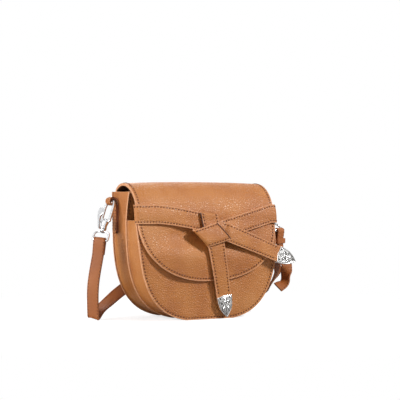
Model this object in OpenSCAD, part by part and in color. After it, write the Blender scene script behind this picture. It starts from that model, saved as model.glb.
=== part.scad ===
// Half-moon shoulder bag with two compartments, a front flap with a knotted belt,
// metal belt tips, swivel snap clasps and a buckled shoulder strap.
// X runs across the bag, -Y is its front, Z is up. The origin is the middle of its flat base.

/* [Bag body] */
// Width across the panels
bag_w = 190; // [160:1:230]
// Height of the rear compartment's mouth above the base
bag_h = 153; // [146:1:156]
// Height of the front pocket's mouth above the base
front_h = 119; // [112:1:124]
// Height at which the rounded bottom has opened to the full width
corner_h = 124; // [95:1:135]
// Squareness of the rounded bottom, 2 is an ellipse
bottom_square = 3; // [2.2:0.1:4]
// Sag that flattens the base
base_sag = 1.5; // [0.8:0.1:3]
// Depth of the rear compartment
rear_depth = 39; // [30:1:50]
// Depth of the front pocket
front_depth = 35; // [26:1:44]
// How far the back panel leans out at the mouth
mouth_flare = 1.5; // [0:0.1:3]
// How far the middle panel leans forward at the mouth
middle_lean = 8; // [2:0.5:10]
// How far the front panel leans back at its mouth
front_lean = 8.9; // [5:0.1:11]

/* [Leather] */
// Thickness of the panels and gussets
leather = 2.2; // [1.6:0.1:2.8]
// Thickness of the lining
lining_t = 0.9; // [0.5:0.1:1.3]
// How far the panel edges stand proud of the gussets at the seams
seam_lip = 2; // [1:0.1:3]
// Free height between the linings and the mouths
lining_drop = 3; // [1:0.5:8]

/* [Flap] */
// Width of the flap
flap_w = 188; // [150:1:190]
// Thickness of the flap, two plies
flap_t = 3; // [2.4:0.1:3.4]
// Height of the flap's lowest point above the base
flap_edge_h = 46.5; // [35:0.5:60]
// Squareness of the flap's rounded edge, 2 is an ellipse
flap_square = 2.25; // [2:0.05:3]
// Height of the crest of the flap above the base
crest_h = 163.5; // [162:0.5:172]
// How far the crest rises towards the middle of the bag
crest_swell = 1.9; // [0:0.1:3]
// How far the flap's front swells out below the belt
front_swell = 1.2; // [0:0.1:1.3]
// Length of the sewn flap root on the back panel
root_l = 20; // [12:1:30]
// How far each side of the flap draws in from its crest to its root
root_taper = 5.5; // [0:0.5:8]
// Diameter of the hidden magnets
magnet_d = 14; // [10:0.5:16]
// Thickness of the hidden magnets
magnet_t = 1.5; // [1:0.1:1.6]

/* [Belt] */
// Width of the belt
belt_w = 22; // [18:0.5:24]
// Thickness of the belt, two plies
belt_t = 2.6; // [2:0.1:3]
// Height of the belt's middle at the flap's edges
belt_h = 126.5; // [124:0.5:130]
// Width of the belt tails where they leave the knot
tail_w = 21.5; // [19:0.5:23]
// Width of the belt tails where they enter the metal tips
tail_end_w = 18.6; // [16:0.1:19]
// Visible length of the hanging tail
drop_l = 59; // [45:1:60]
// Visible length of the side tail
side_l = 67; // [50:1:72]

/* [Metal tips] */
// Width of a tip
tip_w = 20.6; // [20.4:0.1:24]
// Length of a tip
tip_l = 27; // [24:0.5:28]
// Thickness of a tip
tip_t = 5; // [4.6:0.1:6]
// Depth of the pocket that holds the tail
pocket_l = 11; // [8:0.5:13]
// Diameter of the tip pins
pin_d = 1.8; // [1.4:0.1:2.4]

/* [Side tabs] */
// Width of the tab along the gusset
tab_w = 8; // [6.5:0.5:9]
// Length of the tab from its end to the eye's centre
tab_l = 35; // [25:1:45]
// Thickness of the tab, two plies
tab_t = 4.2; // [3:0.1:4.6]
// Inner diameter of the leather eye
eye_bore = 6.4; // [6.2:0.1:7]
// Wall of the leather eye
eye_wall = 2.2; // [1.6:0.1:2.4]
// Height of the eye's centre above the base
tab_h = 142; // [136:1:146]

/* [Snap clasps] */
// Inner width of the hook
hook_in = 9.2; // [9:0.1:12]
// Thickness of the hook's nose in its own plane
nose_t = 3; // [2.4:0.1:3.2]
// Thickness of the hook across its plane
hook_t = 3.2; // [2.8:0.1:3.6]
// Length from the hook's nose arc to its base
slot_l = 20.5; // [18:0.5:24]
// Height of the solid base
base_l = 12.5; // [10:0.5:14]
// Diameter of the swivel post
post_d = 3.2; // [2.6:0.1:3.6]
// Running clearance on the radius of posts and pins
run_gap = 0.07; // [0.03:0.01:0.1]
// Diameter of the swivel eye's wire
eye_wire = 2.6; // [2.2:0.1:3]

/* [Strap] */
// Width of the shoulder strap
strap_w = 15; // [11:0.5:16]
// Thickness of the shoulder strap
strap_t = 2.2; // [1.6:0.1:2.6]
// Length of the folded strap end at each clasp
fold_l = 17; // [12:1:20]
// Length of the straight runs of the stowed strap
stow_run = 66; // [50:1:76]
// Radius of the innermost turn of the stowed strap
stow_r = 11; // [9:0.5:13]
// Turns of the stowed strap
stow_turns = 2; // [2:1:3]
// Wire of the strap buckle
buckle_wire = 2.4; // [2:0.1:2.8]
// Height of the strap buckle's opening
buckle_h = 11; // [9:0.5:14]

/* [Hidden] */

tan = [0.74, 0.47, 0.25];
edge_tan = [0.80, 0.56, 0.38];
cloth = [0.62, 0.50, 0.38];
silver = [0.80, 0.81, 0.83];

// Facets of round cuts and round solids
round_fn = 48;
// Steps of a rounded bottom, and of a leaning or arched profile
bottom_steps = 16;
profile_steps = 8;
arch_steps = 12;
// Overrun of a cut past the face that it opens
cut = 1;
// Gap left between sewn leather faces, and between loose layers
seam_gap = 0.2;
layer_gap = 0.35;

// Faces of the three panels at the base
mid_face = (front_depth - rear_depth) / 2;
front_face = mid_face - front_depth;
back_face = mid_face + rear_depth;
// Heights where the panels start to lean
flare_h = 0.65 * bag_h;
middle_bend_h = 0.76 * bag_h;
front_bend_h = 0.59 * front_h;
// Spans that pass right through the bag
wide = 2 * bag_w;
deep = 3 * (rear_depth + front_depth);

function ease(t, power) = t <= 0 ? 0 : pow(t, power);
function unit(v) = v / norm(v);

// Outer face of the back panel, front face of the middle panel, outer face of the front panel
function back_y(z) = back_face + mouth_flare * ease((z - flare_h) / (bag_h - flare_h), 2);
function middle_y(z) = mid_face - middle_lean * ease((z - middle_bend_h) / (bag_h - middle_bend_h), 1.5);
function front_y(z) = front_face + front_lean * ease((z - front_bend_h) / (front_h - front_bend_h), 1.6);

// Heights at which a leaning profile gets a point
function lean_steps(bend, top) = concat([-cut],
    [for (k = [0:profile_steps]) bend + (top - bend) * k / profile_steps]);

function flipped(list) = [for (k = [len(list) - 1:-1:0]) list[k]];

// Half width of a rounded panel at a height, drawn in by an inset
function half_width(z, inset, half, low, full_h, sag, power) =
    z >= full_h ? half - inset
    : (half - inset) * pow(1 - pow((full_h - z) / (full_h - low + sag - inset), power), 1 / power);

// Outline of a rounded panel from its base to a straight top
function panel_outline(inset, top, half = bag_w / 2, low = 0, full_h = corner_h,
        sag = base_sag, power = bottom_square) =
    let (floor_h = low + inset,
        hs = concat([for (k = [0:bottom_steps]) floor_h + (full_h - floor_h) * pow(k / bottom_steps, 2.2)],
            top > full_h ? [top] : []),
        used = [for (h = hs) if (h < top) h],
        right = concat([for (h = used) [half_width(h, inset, half, low, full_h, sag, power), h]],
            [[half_width(top, inset, half, low, full_h, sag, power), top]]))
    concat(right, [for (p = flipped(right)) [-p[0], p[1]]]);

// A profile in Y and Z drawn right across the bag
module across(points, w = wide) {
    rotate([90, 0, 90])
        linear_extrude(height = w, center = true)
            polygon(points);
}

// An outline in X and Z drawn right through the bag
module through(points) {
    rotate([90, 0, 0])
        linear_extrude(height = deep, center = true)
            polygon(points);
}

// One sewn panel
module panel(outer, inner, top) {
    intersection() {
        across(concat(outer, flipped(inner)));
        through(panel_outline(0, top));
    }
}

module back_panel() {
    hs = lean_steps(flare_h, bag_h);
    color(tan)
        panel([for (z = hs) [back_y(z), z]], [for (z = hs) [back_y(z) - leather, z]], bag_h);
}

module middle_panel() {
    hs = lean_steps(middle_bend_h, bag_h);
    color(tan)
        panel([for (z = hs) [middle_y(z) + leather, z]], [for (z = hs) [middle_y(z), z]], bag_h);
}

magnet_h = flap_edge_h + magnet_d;
magnet_gap = 0.15;

module front_panel() {
    hs = lean_steps(front_bend_h, front_h);
    color(tan)
        difference() {
            panel([for (z = hs) [front_y(z) + leather, z]], [for (z = hs) [front_y(z), z]], front_h);
            translate([0, front_face + leather + cut, magnet_h])
                rotate([90, 0, 0])
                    cylinder(d = magnet_d + 2 * magnet_gap, h = magnet_t + magnet_gap + cut, $fn = round_fn);
        }
}

module pocket_magnet() {
    color(silver)
        translate([0, front_face + leather, magnet_h])
            rotate([90, 0, 0])
                cylinder(d = magnet_d, h = magnet_t, $fn = round_fn);
}

// A gusset band between two panel faces, open at the top
module gusset(front_points, back_points, top) {
    intersection() {
        across(concat(front_points, flipped(back_points)));
        difference() {
            through(panel_outline(seam_lip, top));
            through(panel_outline(seam_lip + leather, top + cut));
        }
    }
}

function rear_heights() = concat([-cut], [for (k = [0:profile_steps])
    middle_bend_h + (bag_h - middle_bend_h) * k / profile_steps]);

module rear_gusset() {
    hs = rear_heights();
    color(tan)
        gusset([for (z = hs) [middle_y(z) + leather + seam_gap, z]],
            [for (z = hs) [back_y(z) - leather - seam_gap, z]], bag_h);
}

function pocket_heights() = concat([-cut], [for (k = [0:profile_steps])
    front_bend_h + (front_h - front_bend_h) * k / profile_steps]);

module front_gusset() {
    hs = pocket_heights();
    color(tan)
        gusset([for (z = hs) [front_y(z) + leather + seam_gap, z]],
            [for (z = hs) [middle_y(z) - seam_gap, z]], front_h);
}

// An open-topped cloth pouch that lines a compartment
module pouch(front_points, back_points, front_inner, back_inner, top) {
    inset = seam_lip + leather + seam_gap;
    difference() {
        intersection() {
            across(concat(front_points, flipped(back_points)));
            through(panel_outline(inset, top));
        }
        intersection() {
            across(concat(front_inner, flipped(back_inner)));
            through(panel_outline(inset + lining_t, top + cut));
        }
    }
}

module main_lining() {
    hs = concat(rear_heights(), [bag_h + cut]);
    f = leather + seam_gap;
    color(cloth)
        pouch([for (z = hs) [middle_y(z) + f, z]], [for (z = hs) [back_y(z) - f, z]],
            [for (z = hs) [middle_y(z) + f + lining_t, z]],
            [for (z = hs) [back_y(z) - f - lining_t, z]], bag_h - lining_drop);
}

module pocket_lining() {
    hs = concat(pocket_heights(), [front_h + cut]);
    f = leather + seam_gap;
    color(cloth)
        pouch([for (z = hs) [front_y(z) + f, z]], [for (z = hs) [middle_y(z) - seam_gap, z]],
            [for (z = hs) [front_y(z) + f + lining_t, z]],
            [for (z = hs) [middle_y(z) - seam_gap - lining_t, z]], front_h - lining_drop);
}

// The flap runs up the back, arches over both mouths and falls over the front
flap_out = layer_gap + flap_t;
hinge_h = bag_h + seam_gap;
crest_y = 0.25 * back_face;
hinge_y = back_y(hinge_h) + flap_out;
front_arch = crest_y - (front_y(front_h) - flap_out);
back_arch = hinge_y - crest_y;
back_arch_power = 1.6;

// Outer face of the front of the flap, at any height up to the crest
function flap_y(z) = z <= front_h ? front_y(z) - flap_out
    : crest_y - front_arch * sqrt(max(0, 1 - pow((z - front_h) / (crest_h - front_h), 2)));

// Front and back halves of the arch, drawn in by an inset
function front_arch_point(a, inset) = [crest_y - (front_arch - inset) * cos(a),
    front_h + (crest_h - front_h - inset) * sin(a)];
function back_arch_point(a, inset) = [crest_y + (back_arch - inset) * pow(cos(a), 2 / back_arch_power),
    hinge_h + (crest_h - hinge_h - inset) * pow(sin(a), 2 / back_arch_power)];

// The flap's long section, from the lower front edge to the hinge line
function flap_line(inset) = concat(
    [for (z = concat([0, 0.82 * front_bend_h], [for (k = [0:profile_steps]) front_bend_h + (front_h - front_bend_h) * k / profile_steps]))
        [front_y(z) - flap_out + inset, z]],
    [for (k = [1:arch_steps]) front_arch_point(90 * k / arch_steps, inset)],
    [for (k = [arch_steps - 1:-1:0]) back_arch_point(90 * k / arch_steps, inset)]);

flap_full_h = front_h;

module flap_slab(near, far) {
    across(concat(flap_line(near), flipped(flap_line(far))));
}

// Shares of half the flap's width at which its swell is worked out
swell_shares = [-1, -0.75, -0.38, 0, 0.38, 0.75, 1];
swell_mid_h = 80 / 119 * front_h;
swell_reach = 14 / 119 * front_h;

// Share of the crest's rise at a point of the flap's long section: none at the belt or the hinge
function crest_share(p) = let (foot = p[0] < crest_y ? belt_h + belt_w / 2 : hinge_h,
        t = min(1, max(0, (p[1] - foot) / (crest_h - foot))))
    t * t * (3 - 2 * t);

// Share of the front's swell at a point of the long section
function front_share(p) = p[0] < crest_y ? exp(-pow((p[1] - swell_mid_h) / swell_reach, 2)) : 0;

// A point of the section moved by the swell at a share of the half width
function swelled(p, guide, share) = [share * flap_w / 2,
    p[0] - front_swell * front_share(guide) * (1 - pow(abs(share), 4)),
    p[1] + crest_swell * crest_share(guide) * (1 - pow(abs(share), 2.4))];

// The flap's own slab, whose crest and front swell between its side edges
module swelled_slab(near, far) {
    outer = flap_line(near);
    section = concat(outer, flipped(flap_line(far)));
    guide = concat(outer, flipped(outer));
    n = len(section);
    last = len(swell_shares) - 1;
    points = [for (share = swell_shares) for (k = [0:n - 1]) swelled(section[k], guide[k], share)];
    walls = [for (r = [0:last - 1]) for (k = [0:n - 1])
        let (a = n * r + k, b = n * r + (k + 1) % n) each [[a, b, b + n], [a, b + n, a + n]]];
    ends = [for (k = [0:n / 2 - 2]) for (base = [0, n * last])
        let (a = base + k, b = a + 1, c = base + n - 2 - k, d = c + 1)
            each (base > 0 ? [[a, b, c], [a, c, d]] : [[a, c, b], [a, d, c]])];
    polyhedron(points = points, faces = concat(ends, walls), convexity = 10);
}

// Plan of the flap: full width up to its crest, then drawn in to the root
module flap_plan() {
    half = flap_w / 2 + cut;
    root_half = flap_w / 2 - root_taper;
    linear_extrude(height = 2 * crest_h)
        polygon([[-half, -deep], [half, -deep], [half, crest_y], [root_half, hinge_y + cut],
            [-root_half, hinge_y + cut], [-half, crest_y]]);
}

module flap() {
    color(tan)
        difference() {
            intersection() {
                flap_plan();
                swelled_slab(0, flap_t);
                through(panel_outline(0, crest_h + crest_swell + cut, flap_w / 2, flap_edge_h, flap_full_h,
                    base_sag / 4, flap_square));
            }
            translate([0, front_face - layer_gap + cut, magnet_h])
                rotate([90, 0, 0])
                    cylinder(d = magnet_d + 2 * magnet_gap, h = magnet_t + magnet_gap + cut, $fn = round_fn);
        }
}

module flap_magnet() {
    color(silver)
        translate([0, front_face - layer_gap, magnet_h])
            rotate([90, 0, 0])
                cylinder(d = magnet_d, h = magnet_t, $fn = round_fn);
}

module flap_root() {
    top = hinge_h - seam_gap;
    hs = [for (k = [0:profile_steps]) top - root_l + root_l * k / profile_steps];
    color(tan)
        across(concat([for (z = hs) [back_y(z) + flap_out, z]],
            flipped([for (z = hs) [back_y(z) + layer_gap, z]])), flap_w - 2 * root_taper);
}

// The belt lies on the flap and its halves dip towards the knot
belt_end_x = flap_w / 2 + layer_gap;
left_flat_x = -0.37 * flap_w;
left_end_x = -0.037 * flap_w;
left_dip = 0.45 * belt_w;
right_flat_x = 0.468 * flap_w;
right_end_x = 0.15 * flap_w;
right_tip_x = 0.092 * flap_w;
right_dip = 0.73 * belt_w;
belt_steps = 6;

function left_belt_z(x) = belt_h - left_dip * ease((x - left_flat_x) / (left_end_x - left_flat_x), 1.4);
function right_belt_z(x) = belt_h - right_dip * ease((right_flat_x - x) / (right_flat_x - right_end_x), 1);

// A stretch of belt on the face of the flap
module belt_face(xs, mids, start, finish) {
    upper = [for (k = [0:len(xs) - 1]) [xs[k], mids[k] + belt_w / 2]];
    lower = [for (k = [0:len(xs) - 1]) [xs[k], mids[k] - belt_w / 2]];
    intersection() {
        flap_slab(-layer_gap - belt_t, -layer_gap);
        through(concat(start, upper, finish, flipped(lower)));
    }
}

// The belt's end, turned back over the flap's side edge
module belt_turn(side) {
    turn_y = flap_y(belt_h - belt_w / 2) - layer_gap - belt_t;
    intersection() {
        flap_slab(-layer_gap - belt_t, flap_t);
        translate([side * (belt_end_x + belt_t / 2), 0, belt_h])
            cube([belt_t, 2 * abs(turn_y), belt_w], center = true);
    }
}

module belt_left() {
    start_x = -belt_end_x - belt_t / 2;
    xs = [for (k = [0:belt_steps]) start_x + (left_end_x - start_x) * k / belt_steps];
    color(tan)
        union() {
            belt_face(xs, [for (x = xs) left_belt_z(x)], [], []);
            belt_turn(-1);
        }
}

module belt_right() {
    run = belt_end_x + belt_t / 2 - right_end_x;
    xs = [for (k = [0:belt_steps]) right_end_x + run * k / belt_steps];
    start = [knot_point(0.2 * belt_w, -0.25 * belt_w), knot_point(0.2 * belt_w, 0.52 * belt_w),
        [right_tip_x, right_belt_z(right_tip_x) + belt_w / 2]];
    color(tan)
        union() {
            belt_face(xs, [for (x = xs) right_belt_z(x)], start, []);
            belt_turn(1);
        }
}

// A closed strip from its centre line, its across directions, its width and its thickness
function strip_corners(route, sides, k, w, t) =
    let (n = len(route),
        along = route[min(k + 1, n - 1)] - route[max(k - 1, 0)],
        a = unit(sides[k]),
        up = unit(cross(along, a)))
    [route[k] - a * w / 2 - up * t / 2, route[k] + a * w / 2 - up * t / 2,
        route[k] + a * w / 2 + up * t / 2, route[k] - a * w / 2 + up * t / 2];

module strip(route, sides, w, t) {
    n = len(route);
    points = [for (k = [0:n - 1]) each strip_corners(route, sides, k, w, t)];
    walls = [for (k = [0:n - 2]) for (j = [0:3])
        let (a = 4 * k + j, b = 4 * k + (j + 1) % 4) each [[a, b + 4, b], [a, a + 4, b + 4]]];
    last = 4 * (n - 1);
    polyhedron(points = points, convexity = 10,
        faces = concat([[0, 1, 2], [0, 2, 3]], walls,
            [[last + 2, last + 1, last], [last + 3, last + 2, last]]));
}

// A smooth list of values through chosen ones, for routes and for across directions
function smooth(v, steps) = concat(
    [for (k = [0:len(v) - 2]) for (s = [0:steps - 1])
        let (t = s / steps, p0 = v[max(k - 1, 0)], p1 = v[k], p2 = v[k + 1], p3 = v[min(k + 2, len(v) - 1)])
        p1 + t * (p2 - p0) / 2 + t * t * (p0 - 2.5 * p1 + 2 * p2 - p3 / 2)
            + t * t * t * (1.5 * p1 - p0 / 2 - 1.5 * p2 + p3 / 2)],
    [v[len(v) - 1]]);

// Middle of a layer of the knot at a height: layer 1 lies on the flap, 2 on 1, 3 on 2
knot_ease = 0.5;
function layer_y(z, layer) = flap_y(z) - knot_ease - layer * (layer_gap + belt_t) + belt_t / 2;
function on_layer(x, z, layer) = [x, layer_y(z, layer), z];

// A knot strip from places [x, z, layer], and the directions across its first and last end
module knot_strip(places, side_a, side_b, w) {
    last = len(places) - 1;
    route = [for (p = places) on_layer(p[0], p[1], p[2])];
    sides = [for (k = [0:last])
        let (p = places[k], half = unit(side_a + (side_b - side_a) * k / last) * w / 2)
        on_layer(p[0] + half[0], p[1] + half[1], p[2]) - on_layer(p[0] - half[0], p[1] - half[1], p[2])];
    strip(route, sides, w, belt_t);
}

// Hinge lines where the two tails leave the knot
drop_hinge = [0.21 * belt_w, belt_h - 1.82 * belt_w];
drop_angle = -10.5;
drop_lean = 2;
side_hinge = [1.3 * belt_w, belt_h - 1.13 * belt_w];
side_angle = -68.5;
side_lean = -2.5;
side_twist = 6;
drop_dir = [-sin(drop_angle), -cos(drop_angle)];
side_dir = [-sin(side_angle), -cos(side_angle)];
side_across = [-side_dir[1], side_dir[0]];

// A place behind the side tail's hinge line, and along that line
function knot_point(behind, along) = side_hinge - side_dir * behind + side_across * along;

// The inner ply runs under the fold and rises to carry the side tail
module knot_core() {
    back = function (share, layer) concat(knot_point(share * belt_w, 0), [layer]);
    color(tan)
        knot_strip(concat([for (k = [0:4]) back(1.34 - 0.21 * k, 1)],
                [back(0.4, 1.4), back(0.29, 1.85), back(0.22, 2), back(0.01, 2)]),
            side_across, side_across, tail_w * 0.93);
}

// The front fold comes over the belt's top edge and carries the hanging tail
fold_tilt = -14;
module knot_fold() {
    top = [-0.01 * belt_w, belt_h - 0.04 * belt_w];
    run = drop_hinge - drop_dir * 2 * seam_gap - top;
    at = function (share, layer) concat(top + run * share, [layer]);
    color(tan)
        knot_strip(concat([at(-0.06, 1.05), at(-0.055, 1.65), at(-0.01, 2.03)],
                [for (k = [1:8]) at(k / 8, 2.03)]),
            [cos(fold_tilt), sin(fold_tilt)], [-drop_dir[1], drop_dir[0]], tail_w * 1.03);
}

// The band wraps the knot from lower left to upper right
band_side = [-0.69, 0.72];
module knot_band() {
    left = [-0.9 * belt_w, belt_h - 1.35 * belt_w];
    right = [0.72 * belt_w, belt_h - 0.9 * belt_w];
    run = right - left;
    at = function (share, layer) concat(left + run * share, [layer + 0.2]);
    color(tan)
        knot_strip(concat([at(0.07, 1), at(0.025, 1.3), at(0, 2), at(0.04, 2.7), at(0.12, 3)],
                [for (k = [1:6]) at(0.12 + 0.88 * k / 6, 3)]), band_side, band_side, 1.24 * belt_w);
}

// A flat belt tail in its own frame: hinge line on X, hanging to -Z, front face on Y = 0
pin_x = 0.31 * tip_w;
pin_drop = 0.12 * tip_l;

module pin_row(d, from_y, to_y, l) {
    for (side = [-1, 1])
        translate([side * pin_x, to_y, -l - pin_drop])
            rotate([90, 0, 0])
                cylinder(d = d, h = to_y - from_y, $fn = round_fn / 2);
}

module tail_shape(l) {
    end = l + pocket_l - layer_gap;
    difference() {
        translate([0, belt_t, 0])
            rotate([90, 0, 0])
                linear_extrude(height = belt_t)
                    polygon([[-tail_w / 2, 0], [tail_w / 2, 0], [tail_end_w / 2, -l],
                        [tail_end_w / 2, -end], [-tail_end_w / 2, -end], [-tail_end_w / 2, -l]]);
        pin_row(pin_d + 2 * run_gap, -cut, belt_t + cut, l);
    }
}

// Share of the tip's half width at a share of its length, from the mouth to the point
tip_shape_shares = [[0, 0.94], [0.06, 1], [0.3, 0.95], [0.5, 0.86], [0.68, 0.66], [0.84, 0.36], [0.96, 0.08]];

module tip_shape(l) {
    mid_y = belt_t / 2;
    slack = 0.15;
    right = [for (s = tip_shape_shares) [s[1] * tip_w / 2, -l - s[0] * tip_l]];
    crest = [[-0.3 * tip_w, -l], [-0.16 * tip_w, -l + 0.05 * tip_l], [0, -l + 0.08 * tip_l],
        [0.16 * tip_w, -l + 0.05 * tip_l], [0.3 * tip_w, -l]];
    difference() {
        translate([0, mid_y + tip_t / 2, 0])
            rotate([90, 0, 0])
                linear_extrude(height = tip_t)
                    polygon(concat(crest, right, [for (p = flipped(right)) [-p[0], p[1]]]));
        translate([0, mid_y, -l - pocket_l + tip_l])
            cube([tail_end_w + 2 * slack, belt_t + 2 * slack, 2 * tip_l], center = true);
        pin_row(pin_d + 2 * run_gap, mid_y - tip_t, mid_y + tip_t, l);
    }
}

module tip_pins(l) {
    mid_y = belt_t / 2;
    pin_row(pin_d, mid_y - tip_t / 2, mid_y + tip_t / 2, l);
}

module on_drop() {
    translate([drop_hinge[0], layer_y(drop_hinge[1], 2) - belt_t / 2, drop_hinge[1]])
        rotate([0, drop_angle, 0])
            rotate([drop_lean, 0, 0])
                children();
}

module on_side() {
    translate([side_hinge[0], layer_y(side_hinge[1], 2) - belt_t / 2, side_hinge[1]])
        rotate([0, side_angle, 0])
            rotate([side_lean, 0, 0])
                rotate([0, 0, side_twist])
                    children();
}

module drop_tail() {
    color(tan) on_drop() tail_shape(drop_l);
}

module drop_tip() {
    color(silver) on_drop() tip_shape(drop_l);
}

module drop_tip_pins() {
    color(silver) on_drop() tip_pins(drop_l);
}

module side_tail() {
    color(tan) on_side() tail_shape(side_l);
}

module side_tip() {
    color(silver) on_side() tip_shape(side_l);
}

module side_tip_pins() {
    color(silver) on_side() tip_pins(side_l);
}

// Leather tabs on the rear gusset, each with an eye for its clasp
eye_r = eye_bore / 2 + eye_wall;
gusset_x = bag_w / 2 - seam_lip;
tab_y = 0.74 * back_face;
eye_x = gusset_x + 1.5 * eye_r;
eye_l = 7;
eye_twist = 22;

// The eye lies square to its clasp's hook
module on_eye(side) {
    translate(eye_centre(side))
        rotate([0, 0, pose_of(side)[0]])
            rotate([pose_of(side)[1], 0, 0])
                rotate([0, pose_of(side)[2] + 90, 0])
                    children();
}

module tab(side) {
    inner_x = gusset_x + seam_gap;
    difference() {
        union() {
            translate([side * inner_x, tab_y, 0])
                rotate([90, 0, side * 90])
                    linear_extrude(height = tab_t)
                        union() {
                            translate([-tab_w / 2, tab_h - tab_l])
                                square([tab_w, tab_l]);
                            translate([0, tab_h - tab_l])
                                circle(d = tab_w, $fn = round_fn);
                        }
            translate([side * (inner_x + eye_x) / 2, tab_y, tab_h + eye_r / 2])
                cube([eye_x - inner_x, eye_l, eye_r], center = true);
            on_eye(side)
                cylinder(r = eye_r, h = eye_l, center = true, $fn = round_fn);
        }
        on_eye(side)
            cylinder(d = eye_bore, h = 1.4 * eye_l, center = true, $fn = round_fn);
        on_clasp(side)
            rotate([90, 0, 0])
                rotate_extrude($fn = round_fn)
                    translate([nose_r, 0])
                        circle(d = 0.8 * eye_bore, $fn = round_fn / 2);
    }
}

module left_tab() {
    color(tan) tab(-1);
}

module right_tab() {
    color(tan) tab(1);
}

// A clasp in its own frame: centre of the nose's arc at the origin, long axis down -Z
nose_r = (hook_in + nose_t) / 2;
bow = nose_r - sqrt(nose_r * nose_r - eye_l * eye_l / 4);
nose_end = 2;
arm_t = 1.15 * nose_t;
gate_t = 0.62 * hook_t;
gate_slot = gate_t + 4 * run_gap;
gate_x = -nose_r;
gate_pin_z = -slot_l + 1.5;
gate_pin_d = 0.42 * nose_t + 0.2 * hook_t;
gate_hub_d = 1.05 * nose_t;
barrel_d = 2.3 * post_d;
head_d = 1.6 * post_d;
head_l = 0.4 * post_d;
boss_z = -slot_l - base_l;
bar_z = boss_z - 1.15 * base_l;
eye_in = strap_w + 1.5;

// How each clasp hangs: heading of its plane, out of plane lean, lean in its plane, swivel turn
left_pose = [-90 + eye_twist, -28.3, -5.2, 20];
right_pose = [270 - eye_twist, 37, -26.2, 148.3];

function turn_x(p, a) = [p[0], p[1] * cos(a) - p[2] * sin(a), p[1] * sin(a) + p[2] * cos(a)];
function turn_y(p, a) = [p[0] * cos(a) + p[2] * sin(a), p[1], p[2] * cos(a) - p[0] * sin(a)];
function turn_z(p, a) = [p[0] * cos(a) - p[1] * sin(a), p[0] * sin(a) + p[1] * cos(a), p[2]];
function eye_centre(side) = [side * eye_x, tab_y, tab_h];
hang = [0, 0, bow / 2 - nose_r];
function pose_of(side) = side < 0 ? left_pose : right_pose;

// A point and a direction of a clasp's frame, in the bag's frame
function clasp_dir(side, v) = turn_z(turn_x(turn_y(v, pose_of(side)[2]), pose_of(side)[1]), pose_of(side)[0]);
function clasp_point(side, p) = eye_centre(side)
    + clasp_dir(side, p + hang);

module on_clasp(side) {
    pose = pose_of(side);
    translate(eye_centre(side))
        rotate([0, 0, pose[0]])
            rotate([pose[1], 0, 0])
                rotate([0, pose[2], 0])
                    translate(hang)
                        children();
}

// A ring sector in X and Z as a flat plate of the hook's thickness
module plate(t) {
    rotate([90, 0, 0])
        linear_extrude(height = t, center = true)
            children();
}

module hook() {
    out_r = nose_r + nose_t / 2;
    in_r = hook_in / 2;
    difference() {
        union() {
            plate(hook_t)
                difference() {
                    circle(r = out_r, $fn = round_fn);
                    circle(r = in_r, $fn = round_fn);
                    translate([-out_r - cut, -out_r - cut])
                        square([2 * (out_r + cut), out_r + cut]);
                }
            plate(hook_t)
                union() {
                    translate([-out_r, -nose_end])
                        square([nose_t, nose_end + nose_t / 4]);
                    translate([in_r, -slot_l - nose_t])
                        square([arm_t, slot_l + nose_t]);
                    translate([-out_r, -slot_l - nose_t])
                        square([out_r + in_r + arm_t / 2, nose_t]);
                }
            translate([gate_x, 0, gate_pin_z])
                rotate([90, 0, 0])
                    cylinder(d = gate_hub_d + nose_t / 3, h = hook_t, center = true, $fn = round_fn);
            translate([0, 0, -slot_l - nose_t / 2 - base_l / 6])
                cylinder(d1 = barrel_d, d2 = hook_in, h = base_l / 3, center = true, $fn = round_fn);
            translate([0, 0, boss_z])
                cylinder(d = barrel_d, h = base_l, $fn = round_fn);
        }
        translate([0, 0, boss_z - cut])
            cylinder(d = post_d + 2 * run_gap, h = base_l + 2 * cut, $fn = round_fn);
        difference() {
            translate([gate_x - nose_t / 4, 0, gate_pin_z + nose_t / 2])
                cube([2.6 * nose_t, gate_slot, 2.5 * gate_hub_d], center = true);
            translate([gate_x, 0, gate_pin_z])
                rotate([90, 0, 0])
                    cylinder(d = gate_pin_d, h = 2 * hook_t, center = true, $fn = round_fn);
        }
    }
}

module left_hook() {
    color(silver) on_clasp(-1) hook();
}

module right_hook() {
    color(silver) on_clasp(1) hook();
}

// Outline of the gate's thumb lever in shares of the slot: out from the gate, down and back up
lever_shares = [[-0.315, -0.27], [-0.55, -0.09], [-0.66, -0.12], [-0.745, -0.25], [-0.755, -0.44],
    [-0.69, -0.74], [-0.45, -1.38], [-0.34, -1.52], [-0.31, -1.45], [-0.42, -1.1], [-0.475, -0.88],
    [-0.46, -0.66], [-0.315, -0.53]];

// The sprung gate closes the hook between its hub and the nose's end
module gate() {
    tip_z = -nose_end - 3 * run_gap;
    difference() {
        union() {
            plate(gate_t)
                union() {
                    translate([gate_x, gate_pin_z])
                        circle(d = gate_hub_d, $fn = round_fn);
                    translate([gate_x - 0.4 * nose_t, gate_pin_z])
                        square([0.8 * nose_t, tip_z - gate_pin_z]);
                }
            plate(0.8 * hook_t)
                polygon(lever_shares * slot_l);
        }
        translate([gate_x, 0, gate_pin_z])
            rotate([90, 0, 0])
                cylinder(d = gate_pin_d + 2 * run_gap, h = 2 * hook_t, center = true, $fn = round_fn);
    }
}

module left_gate() {
    color(silver) on_clasp(-1) gate();
}

module right_gate() {
    color(silver) on_clasp(1) gate();
}

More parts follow.
